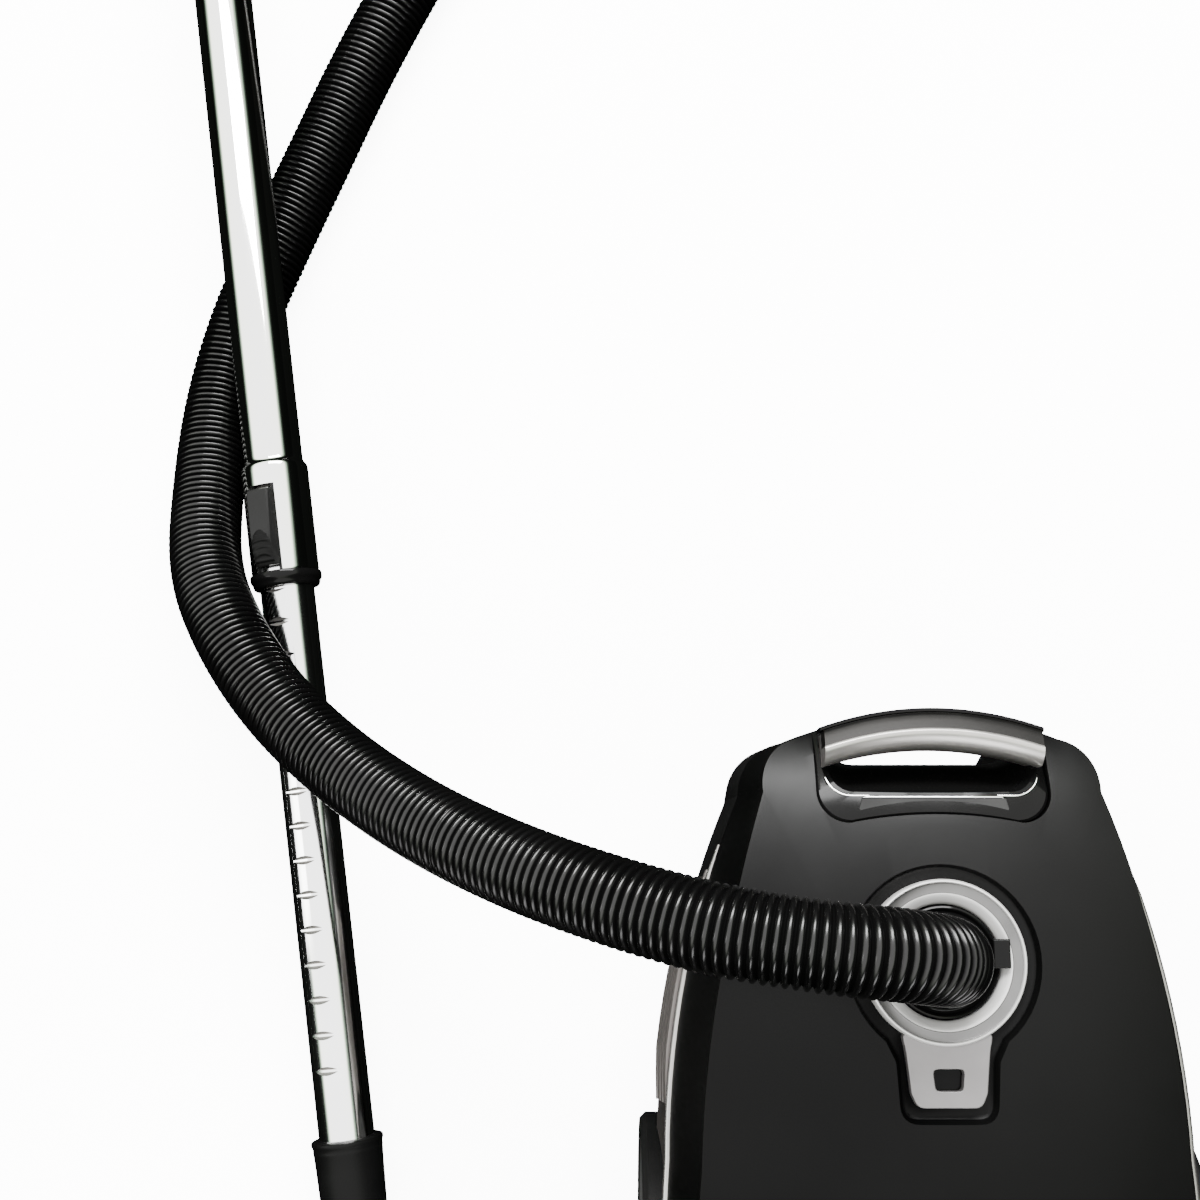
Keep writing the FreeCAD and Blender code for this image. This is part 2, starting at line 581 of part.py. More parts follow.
def grip_path(start, rest):
    """The handle's centre line: a straight socket, one bend towards the underside, then straight."""
    bend = math.radians(s.grip_bend)
    radius = s.grip_bend_radius
    begin = s.outer_top - 46 + s.grip_socket
    first = V(0, start, 0)
    knee = V(0, begin, 0)
    middle = V(0, begin + radius * math.sin(bend / 2), -radius * (1 - math.cos(bend / 2)))
    after = V(0, begin + radius * math.sin(bend), -radius * (1 - math.cos(bend)))
    last = after + V(0, math.cos(bend), -math.sin(bend)) * rest
    return Part.Wire([Part.makeLine(first, knee), Part.Arc(knee, middle, after).toShape(),
                      Part.makeLine(after, last)]), last


def grip_tube(radius, start, rest):
    wire, last = grip_path(start, rest)
    section = Part.Wire([Part.makeCircle(radius, V(0, start, 0), ALONG)])
    return wire.makePipeShell([section], True, False)


GRIP_END = grip_path(0, s.grip_length)[1]
GRIP_LINE = V(0, math.cos(math.radians(s.grip_bend)), -math.sin(math.radians(s.grip_bend)))
GRIP = WAND.multiply(FreeCAD.Placement(GRIP_END, FreeCAD.Rotation(ALONG, GRIP_LINE)))


def make_handle():
    start = s.outer_top - 46
    outside = grip_tube(s.grip_radius + 1.5, start, s.grip_length)
    inside = grip_tube(14, start + 40, s.grip_length + 5)
    socket = Part.makeCylinder(s.outer_radius, 46, V(0, start, 0), ALONG)
    form = outside.cut(socket).cut(inside)
    lock_hole = Part.makeCylinder(6.4, 8, V(0, start + 24, 17.4), UP)
    form = form.cut(lock_hole)
    node("handle_grip", feature("handle_grip", form, WAND))
    pad = disc("grip_pad", GRIP, (0, 12 - s.grip_length, 0), (0, 1, 0), "grip_radius + 2.6", 98,
               bore="grip_radius + 1.5", edge=0.8)
    node("grip_pad", pad)
    lock = disc("wand_lock", WAND, (0, start + 24, 19.5), (0, 0, 1), 6, 4.5, edge=1)
    node("wand_lock", lock)
    slider = block("suction_form", WAND, (-8, start + 52, 21.2), 16, 16, 4)
    node("suction_slider", softened("suction_slider", slider, 1.2, lambda edge: edge.Length > 15))
    socket, end = s.hose_radius + 0.5, s.swivel_length
    profile = [(s.cuff_bore, 0), (s.swivel_radius - 1.5, 0), (s.swivel_radius, 2), (s.swivel_radius, end),
               (socket, end), (socket, end - 8), (s.cuff_bore, end - 8)]
    node("hose_swivel", spun("hose_swivel", GRIP, (0, 0.5, 0), (0, 1, 0), profile))


# ---------------------------------------------------------------- floor nozzle

def make_neck():
    low = -s.head_reach
    tube = rod("neck_tube", NECK, (0, low, 0), (0, 1, 0), 17, s.head_reach - 62)
    barrel = rod("neck_barrel", FreeCAD.Placement(PIVOT, YAW), (-s.barrel_half_width, 0, 0), (1, 0, 0),
                 "barrel_radius", "barrel_half_width * 2")
    bore = rod("neck_bore", NECK, (0, low + 6, 0), (0, 1, 0), 14, 150)
    pins = rod("neck_pins", FreeCAD.Placement(PIVOT, YAW), (-s.barrel_half_width - 9, 0, 0), (1, 0, 0), 5,
               "(barrel_half_width + 9) * 2")
    open_neck = cut("neck_open", joined("neck_all", tube, barrel), bore)
    node("nozzle_neck", joined("nozzle_neck", open_neck, pins))
    profile = [(14, -61.5), (17.5, -61.5), (18.5, -20), (20, -4), (20.6, -3), (20.6, 0),
               (s.inner_radius, 0), (s.inner_radius, -45.05), (14, -45.05)]
    node("nozzle_cuff", spun("nozzle_cuff", WAND, (0, 0, 0), (0, 1, 0), profile))


def make_head():
    half, front, back = s.head_half_width, s.head_front, s.head_back
    outline = [(-half, -front + 16), (-half + 14, -front), (half - 14, -front), (half, -front + 16),
               (half, back - 22), (half - 14, back - 8), (50, back), (-50, back), (-half + 14, back - 8),
               (-half, back - 22)]
    form = prism("head_form", HEAD, outline, "z", 7, s.head_height - 7)
    outline = [(-front, 6), (-front, 22), (-front + 22, 36), (-front + 40, s.head_height),
               (back, s.head_height - 4), (back, 6)]
    side = prism("head_side", HEAD, outline, "x", -half, 2 * half)
    form = common("head_sloped", form, side)
    slot_half = s.barrel_half_width + 1.5
    slot = block("head_slot", HEAD, (-slot_half, -26, 0), 2 * slot_half, 60, 60)
    duct = block("head_duct", HEAD, (-90, -52, 0), 180, 20, 26)
    throat = rod("head_throat", HEAD, (0, -40, 22), (0, 1, 0), 13, 30)
    pins = rod("head_pins", HEAD, (-s.barrel_half_width - 10, 0, s.pivot_height), (1, 0, 0),
               "5 + running_gap", "(barrel_half_width + 10) * 2")
    bay = block("pedal_bay", HEAD, (-22, -62, 36), 44, 30, 20)
    brush_slots = [block(f"brush_slot_{k}", HEAD, (-104, y, 0), 208, 6, 19)
                   for k, y in ((0, -68.5), (1, -31))]
    wells = [block(f"roller_well_{k}", HEAD, (x - 8, -6, 0), 16, 22, 22) for k, x in ((0, -84), (1, 84))]
    roller_pins = [rod(f"roller_pin_{k}", HEAD, (x - 8.5, 5, 8), (1, 0, 0), 2, 17)
                   for k, x in ((0, -84), (1, 84))]
    shell = cut("head_shell", form, slot, duct, throat, pins, bay, *brush_slots, *wells)
    node("nozzle_head", joined("nozzle_head", shell, *roller_pins))
    outline = [(-half + 4, -front + 18), (-half + 15, -front + 4), (half - 15, -front + 4),
               (half - 4, -front + 18), (half - 4, back - 24), (half - 16, back - 12),
               (-half + 16, back - 12), (-half + 4, back - 24)]
    sole = prism("sole_form", HEAD, outline, "z", 4, 3)
    runners = [block(f"runner_{k}", HEAD, (x - 3, -front + 8, 0), 6, 44, 4)
               for k, x in ((0, -112), (1, 112))]
    mouth = block("sole_mouth", HEAD, (-96, -50, -1), 192, 16, 20)
    gap = block("sole_slot", HEAD, (-slot_half, -26, -1), 2 * slot_half, 60, 20)
    ways = [block(f"sole_way_{k}", HEAD, (-104, y, -1), 208, 6, 20) for k, y in ((0, -68.5), (1, -31))]
    clear = [block(f"sole_well_{k}", HEAD, (x - 8, -6, -1), 16, 22, 22) for k, x in ((0, -84), (1, 84))]
    node("sole_plate", cut("sole_plate", joined("sole_all", sole, *runners), mouth, gap, *ways, *clear))
    strips = [block(f"brush_{k}", HEAD, (-103, y, 0.5), 206, 5, 14) for k, y in ((0, -68), (1, -30.5))]
    node("brush_strips", joined("brush_strips", *strips))
    pedal = block("pedal_form", HEAD, (-20, -60, 38), 40, 26, 7)
    pedal = softened("pedal_soft", pedal, 1.5, lambda edge: edge.BoundBox.ZMin > 44)
    pin = rod("pedal_pin", HEAD, (-21.5, -47, 41), (1, 0, 0), 1.5, 43)
    node("foot_pedal", joined("foot_pedal", pedal, pin))
    rollers = [disc(f"roller_{k}", HEAD, (x - 6, 5, 8), (1, 0, 0), 8, 12, bore="2 + running_gap", edge=1)
               for k, x in ((0, -84), (1, 84))]
    node("nozzle_rollers", joined("nozzle_rollers", *rollers))


# ---------------------------------------------------------------- hose

# the hose's route, from its cuff on the canister to the swivel on the handle
HOSE_ROUTE = [
    (153, -326.5, 200), (153, -326.5, 224), (144, -325.1, 245), (126.5, -323, 260.5), (101, -320.5, 269),
    (70, -316.5, 267), (34, -310.5, 258), (-14, -296.5, 235), (-62, -278.5, 203), (-110, -254.5, 165),
    (-155, -224.5, 130), (-195, -189.5, 106), (-227, -147.5, 86), (-251, -101, 61), (-255.5, -43.5, 39),
    (-254, 14.5, 25), (-241, 71.5, 22), (-219, 127.5, 22), (-196, 182.5, 22), (-173, 238.5, 22),
    (-147, 293.5, 22), (-119, 347.5, 22), (-87, 398.5, 22), (-52, 446.5, 22), (-14, 491.5, 22),
    (24, 537.5, 22), (54, 590.5, 22), (70, 648.5, 22), (69, 707.5, 22), (52, 763.5, 22), (20, 810.5, 22),
    (-23, 845.5, 22), (-75, 864.5, 22), (-130, 864.5, 22), (-182, 848.5, 22), (-226, 816.5, 22),
    (-256, 772.5, 22), (-270, 722.5, 22), (-273.2, 680.4, 24.3), (-273.9, 652.1, 34.3),
]
HOSE_SPLIT = 8


def tube_along(points, radius):
    """A round tube along straight runs with tangent arcs, and its path."""
    edges = []
    here = points[0]
    for before, corner, after in zip(points, points[1:], points[2:]):
        inward, outward = corner - before, after - corner
        turn = inward.getAngle(outward)
        reach = 0.45 * min(inward.Length, outward.Length)
        bend = reach / math.tan(turn / 2)
        inward.normalize()
        outward.normalize()
        first, last = corner - inward * reach, corner + outward * reach
        halfway = (first + last) * 0.5
        centre_way = (halfway - corner).normalize()
        middle = corner + centre_way * (bend / math.cos(turn / 2) - bend)
        edges.append(Part.makeLine(here, first))
        edges.append(Part.Arc(first, middle, last).toShape())
        print(f"  turn {math.degrees(turn):5.1f} deg, radius {bend:6.1f} mm")
        here = last
    edges.append(Part.makeLine(here, points[-1]))
    path = Part.Wire(edges)
    tubes = []
    for size in (radius, radius - s.hose_wall):
        section = Part.Wire([Part.makeCircle(size, points[0], points[1] - points[0])])
        tubes.append(path.makePipeShell([section], True, False))
    return tubes[0].cut(tubes[1]), path


def make_hose():
    route = [V(*point) for point in HOSE_ROUTE]
    joint = (route[HOSE_SPLIT] + route[HOSE_SPLIT + 1]) * 0.5
    runs = {"hose_near": route[:HOSE_SPLIT + 1] + [joint], "hose_far": [joint] + route[HOSE_SPLIT + 1:]}
    for name, points in runs.items():
        shape, path = tube_along(points, s.hose_radius)
        expected = path.Length * math.pi * (s.hose_radius ** 2 - (s.hose_radius - s.hose_wall) ** 2)
        print(f"{name}: length {path.Length:.0f} mm, volume {shape.Volume:.0f} against {expected:.0f}")
        node(name, feature(name, shape))


for make in (
        make_base_shell, make_skins, make_cowl, make_carry_handle, make_lid, make_rear_cover, make_buttons,
        make_latch, make_inlet, make_bag_bay, make_motor, make_reel, make_exhaust, make_wheels, make_caster,
        make_tubes, make_handle, make_neck, make_head, make_hose):
    make()
doc.recompute()

os.makedirs("parts", exist_ok=True)
for thing in doc.Objects:
    bad = {"Invalid", "Error"} & set(thing.State)
    if bad:
        raise RuntimeError(f"{thing.Name} is {bad}")
for thing in nodes:
    shape = thing.Shape
    if shape.isNull() or not shape.isValid():
        raise RuntimeError(f"{thing.Label} has no valid shape")
    print(f"{thing.Label:20s} solids {len(shape.Solids)} volume {shape.Volume:10.0f}"
          f" z {shape.BoundBox.ZMin:.1f} to {shape.BoundBox.ZMax:.1f}")
for thing in nodes:
    thing.Shape.exportStep(f"parts/{thing.Label}.step")
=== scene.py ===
import itertools
import json
import math
import bpy
from mathutils import Matrix, Vector


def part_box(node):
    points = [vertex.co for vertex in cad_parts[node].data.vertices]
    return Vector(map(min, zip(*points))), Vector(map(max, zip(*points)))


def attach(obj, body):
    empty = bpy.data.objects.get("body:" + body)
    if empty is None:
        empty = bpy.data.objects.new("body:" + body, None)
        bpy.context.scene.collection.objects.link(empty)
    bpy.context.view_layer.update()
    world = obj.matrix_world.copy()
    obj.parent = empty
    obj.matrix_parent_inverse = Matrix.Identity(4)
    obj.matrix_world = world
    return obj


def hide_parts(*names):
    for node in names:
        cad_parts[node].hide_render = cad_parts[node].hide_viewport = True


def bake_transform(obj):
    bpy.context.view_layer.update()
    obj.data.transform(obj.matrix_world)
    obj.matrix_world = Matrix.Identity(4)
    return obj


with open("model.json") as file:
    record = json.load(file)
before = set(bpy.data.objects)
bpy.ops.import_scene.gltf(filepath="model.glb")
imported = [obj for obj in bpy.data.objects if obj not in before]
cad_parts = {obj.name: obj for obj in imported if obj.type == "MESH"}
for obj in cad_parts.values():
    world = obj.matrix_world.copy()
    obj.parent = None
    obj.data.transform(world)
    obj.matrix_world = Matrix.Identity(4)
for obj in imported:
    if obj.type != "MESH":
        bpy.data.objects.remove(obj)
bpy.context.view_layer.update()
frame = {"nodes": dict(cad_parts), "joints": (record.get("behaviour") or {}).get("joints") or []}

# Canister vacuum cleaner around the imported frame. Lengths are in millimetres, and MM makes metres of them,
# except for the camera, the lights and the floor, which are in metres.
MM = 0.001
NODES = frame["nodes"]
JOINTS = {joint["name"]: joint for joint in frame["joints"]}


# ---------------------------------------------------------------- frames of the object

def middle(node):
    low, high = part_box(node)
    return (Vector(low) + Vector(high)) / 2


def frame_of(origin, along, out):
    """A frame with +Y along one direction, +Z out along another, and its origin at a point in metres."""
    y = Vector(along).normalized()
    z = (Vector(out) - y * Vector(out).dot(y)).normalized()
    x = y.cross(z)
    return Matrix((
        (x.x, y.x, z.x, origin.x),
        (x.y, y.y, z.y, origin.y),
        (x.z, y.z, z.z, origin.z),
        (0, 0, 0, 1)))


INLET = middle("inlet_pipe")
CANISTER = Matrix.Translation((INLET.x, INLET.y, 0))
# from the joint that turns the nozzle's neck to where lengths along the wand start
WAND_START = 80
WAND = frame_of(
    Vector(JOINTS["neck_turn"]["pos_m"]), -Vector(JOINTS["wand_extend"]["axis"]),
    -Vector(JOINTS["wand_lock_press"]["axis"])) @ Matrix.Translation((0, WAND_START * MM, 0))
# the same frame with +Z along the wand, for turned pieces
WAND_AXIS = WAND @ Matrix.Rotation(math.radians(-90), 4, "X")


def local(place, *points):
    """Points of one of the object's frames, in metres of the whole."""
    return [place @ (Vector(point) * MM) for point in points]


# ---------------------------------------------------------------- camera and lamps

CAMERA_AT = (-0.015, -0.3145, 1.070)
CAMERA_TILT = 11
CAMERA_LENS, CAMERA_SENSOR = 52, 36


def make_camera():
    """Looks almost straight down on the canister's inlet and the wand beside it."""
    data = bpy.data.cameras.new("camera")
    data.lens = CAMERA_LENS
    data.sensor_width = CAMERA_SENSOR
    camera = bpy.data.objects.new("camera", data)
    bpy.context.collection.objects.link(camera)
    camera.location = CAMERA_AT
    camera.rotation_euler = (math.radians(CAMERA_TILT), 0, 0)
    bpy.context.scene.camera = camera


def area_light(name, at, target, size, power):
    data = bpy.data.lights.new(name, "AREA")
    data.shape = "RECTANGLE"
    data.size, data.size_y = size
    data.energy = power
    lamp = bpy.data.objects.new(name, data)
    bpy.context.collection.objects.link(lamp)
    lamp.location = at
    lamp.rotation_mode = "QUATERNION"
    lamp.rotation_quaternion = (Vector(target) - Vector(at)).to_track_quat("-Z", "Y")


make_camera()


# ---------------------------------------------------------------- mesh helpers

def piece(name, vertices, faces, body, material, smooth=True):
    """A mesh in row-frame metres that rides on a body."""
    mesh = bpy.data.meshes.new(name)
    mesh.from_pydata([tuple(v) for v in vertices], [], faces)
    mesh.update()
    if smooth:
        mesh.polygons.foreach_set("use_smooth", [True] * len(mesh.polygons))
    mesh.materials.append(material)
    thing = bpy.data.objects.new(name, mesh)
    bpy.context.collection.objects.link(thing)
    if body:
        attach(thing, body)
    return thing


def softened(thing, width, angle=35, segments=2):
    """Rounds the edges of a piece and keeps its broad faces flat."""
    bevel = thing.modifiers.new("edges", "BEVEL")
    bevel.width = width * MM
    bevel.segments = segments
    bevel.limit_method = "ANGLE"
    bevel.angle_limit = math.radians(angle)
    bevel.harden_normals = True
    return thing


def creased(thing, angle=35):
    """Keeps edges that turn by more than an angle sharp."""
    thing.data.set_sharp_from_angle(angle=math.radians(angle))
    return thing


def rounded(points, radius, steps=5, closed=True):
    """A corner list in the plane with every corner turned into an arc."""
    result = []
    count = len(points)
    for k in range(count):
        here = Vector(points[k])
        if not closed and k in (0, count - 1):
            result.append(here)
            continue
        before, after = Vector(points[k - 1]) - here, Vector(points[(k + 1) % count]) - here
        turn = math.pi - before.angle(after)
        if turn < math.radians(4):
            result.append(here)
            continue
        reach = min(radius * math.tan(turn / 2), 0.45 * before.length, 0.45 * after.length)
        first, last = here + before.normalized() * reach, here + after.normalized() * reach
        for step in range(steps + 1):
            share = step / steps
            result.append(first.lerp(here, share).lerp(here.lerp(last, share), share))
    return result


def lathe(name, profile, place, body, material, sides=96):
    """Turns a closed loop of (radius, height) corners about the frame's +Z."""
    rings = []
    for k in range(sides):
        turn = 2 * math.pi * k / sides
        rings.append(local(place, *[(r * math.cos(turn), r * math.sin(turn), h) for r, h in profile]))
    count = len(profile)
    vertices = [vertex for ring in rings for vertex in ring]
    faces = []
    for row in range(sides):
        low, high = row * count, ((row + 1) % sides) * count
        for k in range(count):
            after = (k + 1) % count
            faces.append((low + k, high + k, high + after, low + after))
    return creased(piece(name, vertices, faces, body, material))


def slab(name, outline, low, high, place, body, material, edge, hole=None):
    """An outline in the frame's XY plane with some thickness, round edges and perhaps a hole."""
    loops = [outline] + ([hole] if hole else [])
    flat = [(x, y, z) for loop in loops for z in (low, high) for x, y in loop]
    count = len(outline)
    faces = []
    for loop in range(len(loops)):
        start = 2 * count * loop
        for k in range(count):
            after = (k + 1) % count
            wall = (start + k, start + after, start + count + after, start + count + k)
            faces.append(wall if loop == 0 else tuple(reversed(wall)))
    if hole:
        for k in range(count):
            after = (k + 1) % count
            faces.append((count + k, count + after, 3 * count + after, 3 * count + k))
            faces.append((k, 2 * count + k, 2 * count + after, after))
    else:
        faces.append(tuple(range(count, 2 * count)))
        faces.append(tuple(reversed(range(count))))
    return softened(creased(piece(name, local(place, *flat), faces, body, material)), edge)


def resampled(outline, count, centre):
    """The outline read at even turns round a centre, so that two outlines can be joined."""
    points = []
    centre = Vector(centre)
    for k in range(count):
        way = Vector((math.cos(2 * math.pi * k / count), math.sin(2 * math.pi * k / count)))
        best = None
        for here, there in zip(outline, outline[1:] + outline[:1]):
            here, edge = Vector(here) - centre, Vector(there) - Vector(here)
            cross = way.x * edge.y - way.y * edge.x
            if abs(cross) < 1e-9:
                continue
            reach = (here.x * edge.y - here.y * edge.x) / cross
            share = (here.x * way.y - here.y * way.x) / cross
            if reach > 0 and -1e-6 <= share <= 1 + 1e-6:
                best = reach if best is None else max(best, reach)
        points.append(centre + way * best)
    return points


def cutter(outline, levels, place):
    """A closed form through an outline grown and shrunk at several heights, for cutting with."""
    rings = []
    count = len(outline)
    for grow, height in levels:
        ring = []
        for k in range(count):
            before, here = Vector(outline[k - 1]), Vector(outline[k])
            after = Vector(outline[(k + 1) % count])
            way = (after - before).normalized()
            ring.append((here.x + way.y * grow, here.y - way.x * grow, height))
        rings.append(local(place, *ring))
    return mesh_of(*skin(rings, closed_ends=True))


def carved(thing, meshes, operation="DIFFERENCE"):
    """The piece with closed meshes cut out of it, or with only what they share kept."""
    for mesh in meshes:
        tool = bpy.data.objects.new("tool", mesh)
        bpy.context.collection.objects.link(tool)
        work = thing.modifiers.new("cut", "BOOLEAN")
        work.operation = operation
        work.solver = "EXACT"
        work.object = tool
        bpy.context.view_layer.update()
        seen = thing.evaluated_get(bpy.context.evaluated_depsgraph_get())
        made = bpy.data.meshes.new_from_object(seen)
        thing.modifiers.remove(work)
        thing.data = made
        bpy.data.objects.remove(tool)
    thing.data.polygons.foreach_set("use_smooth", [True] * len(thing.data.polygons))
    return creased(thing, 30)


def arc_through(first, middle_point, last, count):
    """Points on the circle through three points of the plane, without the last."""
    (ax, ay), (bx, by), (cx, cy) = first, middle_point, last
    twice = 2 * (ax * (by - cy) + bx * (cy - ay) + cx * (ay - by))
    if abs(twice) < 1e-6:
        return [(ax + (cx - ax) * k / count, ay + (cy - ay) * k / count) for k in range(count)]
    a, b, c = ax * ax + ay * ay, bx * bx + by * by, cx * cx + cy * cy
    x = (a * (by - cy) + b * (cy - ay) + c * (ay - by)) / twice
    y = (a * (cx - bx) + b * (ax - cx) + c * (bx - ax)) / twice
    radius = math.hypot(ax - x, ay - y)
    start, end = math.atan2(ay - y, ax - x), math.atan2(cy - y, cx - x)
    way = math.atan2(by - y, bx - x)
    sweep = (end - start) % (2 * math.pi)
    if (way - start) % (2 * math.pi) > sweep:
        sweep -= 2 * math.pi
    turns = [start + sweep * k / count for k in range(count)]
    return [(x + radius * math.cos(turn), y + radius * math.sin(turn)) for turn in turns]


# ---------------------------------------------------------------- hose

HOSE_ROUTE = [
    (153, -326.5, 200), (153, -326.5, 224), (144, -325.1, 245), (126.5, -323, 260.5), (101, -320.5, 269),
    (70, -316.5, 267), (34, -310.5, 258), (-14, -296.5, 235), (-62, -278.5, 203), (-110, -254.5, 165),
    (-155, -224.5, 130), (-195, -189.5, 106), (-227, -147.5, 86), (-251, -101, 61), (-255.5, -43.5, 39),
    (-254, 14.5, 25), (-241, 71.5, 22), (-219, 127.5, 22), (-196, 182.5, 22), (-173, 238.5, 22),
    (-147, 293.5, 22), (-119, 347.5, 22), (-87, 398.5, 22), (-52, 446.5, 22), (-14, 491.5, 22),
    (24, 537.5, 22), (54, 590.5, 22), (70, 648.5, 22), (69, 707.5, 22), (52, 763.5, 22), (20, 810.5, 22),
    (-23, 845.5, 22), (-75, 864.5, 22), (-130, 864.5, 22), (-182, 848.5, 22), (-226, 816.5, 22),
    (-256, 772.5, 22), (-270, 722.5, 22), (-273.2, 680.4, 24.3), (-273.9, 652.1, 34.3),
]
# the near stretch ends halfway between this route point and the next
HOSE_SPLIT = 8
HOSE_RADIUS = 21.5
RIB_DEPTH = 2.9
# how far the ribs stand apart: place along the hose in metres, pitch in millimetres
RIB_PITCH = [(0.0, 4.0), (0.08, 4.9), (0.36, 4.7), (0.58, 4.1), (0.85, 4.0), (1.2, 5.4), (3.0, 5.4)]
# one rib: share of the pitch, depth as a share of RIB_DEPTH
RIB_SHAPE = [(0.0, 1.0), (0.08, 0.86), (0.18, 0.46), (0.32, 0.12), (0.5, 0.0), (0.68, 0.12), (0.82, 0.46),
             (0.92, 0.86)]
HOSE_SIDES = 36
HOSE_SMOOTHNESS = 40


def spline_points(route, count):
    """Points read from the route's smooth spline, in metres."""
    data = bpy.data.curves.new("route", "CURVE")
    data.dimensions = "3D"
    data.resolution_u = count
    spline = data.splines.new("NURBS")
    spline.points.add(len(route) - 1)
    for point, (x, y, z) in zip(spline.points, route):
        point.co = (x * MM, y * MM, z * MM, 1)
    spline.order_u = 3
    spline.use_endpoint_u = True
    holder = bpy.data.objects.new("route", data)
    bpy.context.collection.objects.link(holder)
    mesh = bpy.data.meshes.new_from_object(holder)
    points = [vertex.co.copy() for vertex in mesh.vertices]
    bpy.data.objects.remove(holder)
    bpy.data.meshes.remove(mesh)
    return points


def between(table, place):
    """The value of a table of (place, value) pairs, eased between its rows."""
    for (low, first), (high, second) in zip(table, table[1:]):
        if place <= high:
            share = (place - low) / (high - low)
            share = share * share * (3 - 2 * share)
            return first + (second - first) * share
    return table[-1][1]


class Line:
    """A polyline read by the length along it, from its start onwards and never back."""

    def __init__(self, points):
        self.points = points
        self.places = [0.0]
        for here, there in zip(points, points[1:]):
            self.places.append(self.places[-1] + (there - here).length)
        self.length = self.places[-1]
        self.step = 0

    def at(self, place):
        while self.step < len(self.points) - 2 and self.places[self.step + 1] < place:
            self.step += 1
        low, high = self.places[self.step], self.places[self.step + 1]
        share = (place - low) / (high - low)
        here, there = self.points[self.step], self.points[self.step + 1]
        return here.lerp(there, share), (there - here).normalized()


def tube_rings(stations, sides, start=Vector((0, 1, 0))):
    """Rings of vertices round (centre, direction, radius) stations, without twist."""
    rings = []
    side = start
    for centre, direction, radius in stations:
        side = (side - direction * side.dot(direction)).normalized()
        other = direction.cross(side)
        rings.append([
            centre + (side * math.cos(turn) + other * math.sin(turn)) * radius
            for turn in (2 * math.pi * k / sides for k in range(sides))])
    return rings


def skin(rings, closed_ends=False):
    """Quads between equal rings of vertices."""
    sides = len(rings[0])
    vertices = [vertex for ring in rings for vertex in ring]
    faces = []
    for row in range(len(rings) - 1):
        for k in range(sides):
            low, high = row * sides, (row + 1) * sides
            after = (k + 1) % sides
            faces.append((low + k, low + after, high + after, high + k))
    if closed_ends:
        faces.append(tuple(reversed(range(sides))))
        faces.append(tuple(range(len(vertices) - sides, len(vertices))))
    return vertices, faces


def hose_stations(line):
    """Places along the corrugated hose, and the (centre, direction, radius) at each."""
    places, stations = [], []
    place = 0.0
    while place < line.length:
        pitch = between(RIB_PITCH, place) * MM
        for share, depth in RIB_SHAPE:
            here = place + share * pitch
            if here <= line.length:
                places.append(here)
                stations.append((*line.at(here), (HOSE_RADIUS - RIB_DEPTH * depth) * MM))
        place += pitch
    return places, stations


def make_hose(material):
    """Both stretches of the corrugated hose, cut from one run of rings."""
    points = spline_points(HOSE_ROUTE, HOSE_SMOOTHNESS)
    line = Line(points)
    joint = (Vector(HOSE_ROUTE[HOSE_SPLIT]) + Vector(HOSE_ROUTE[HOSE_SPLIT + 1])) / 2 * MM
    cut = min(range(len(points)), key=lambda k: (points[k] - joint).length)
    places, stations = hose_stations(line)
    rings = tube_rings(stations, HOSE_SIDES)
    # ridge height of each ring, which the hose's finish uses to paint shade into the valleys
    crests = [1 - (HOSE_RADIUS - radius / MM) / RIB_DEPTH for _, _, radius in stations]
    split = sum(1 for place in places if place <= line.places[cut]) - 1
    near = piece("corrugated_hose_near", *skin(rings[:split + 1], True), None, material)
    far = piece("corrugated_hose_far", *skin(rings[split:], True), None, material)
    for thing, some in ((near, crests[:split + 1]), (far, crests[split:])):
        heights = [crest for crest in some for _ in range(HOSE_SIDES)]
        heights += [0.0] * (len(thing.data.vertices) - len(heights))
        thing.data.attributes.new("ridge", "FLOAT", "POINT").data.foreach_set("value", heights)
    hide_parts("hose_near")
    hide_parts("hose_far")
    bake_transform(near)
    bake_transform(far)


# ---------------------------------------------------------------- materials

def nodes_of(material):
    material.use_nodes = True
    tree = material.node_tree
    return tree, tree.nodes["Principled BSDF"]


def noise(tree, scale, detail=3.0, stretch=(1, 1, 1)):
    """Noise over the object's own coordinates, in metres."""
    place = tree.nodes.new("ShaderNodeTexCoord")
    mapping = tree.nodes.new("ShaderNodeMapping")
    mapping.inputs["Scale"].default_value = stretch
    texture = tree.nodes.new("ShaderNodeTexNoise")
    texture.inputs["Scale"].default_value = scale
    texture.inputs["Detail"].default_value = detail
    tree.links.new(place.outputs["Object"], mapping.inputs["Vector"])
    tree.links.new(mapping.outputs["Vector"], texture.inputs["Vector"])
    return texture.outputs["Fac"]


def ranged(tree, value, low, high, first=0.3, last=0.7):
    """The value between first and last, turned into one between low and high."""
    node = tree.nodes.new("ShaderNodeMapRange")
    node.inputs["From Min"].default_value = first
    node.inputs["From Max"].default_value = last
    node.inputs["To Min"].default_value = low
    node.inputs["To Max"].default_value = high
    tree.links.new(value, node.inputs["Value"])
    return node.outputs["Result"]


def shades(tree, value, dark, light):
    """The value turned into a colour between two."""
    ramp = tree.nodes.new("ShaderNodeValToRGB")
    ramp.color_ramp.elements[0].position = 0.3
    ramp.color_ramp.elements[1].position = 0.7
    ramp.color_ramp.elements[0].color = (*dark, 1)
    ramp.color_ramp.elements[1].color = (*light, 1)
    tree.links.new(value, ramp.inputs["Fac"])
    return ramp.outputs["Color"]


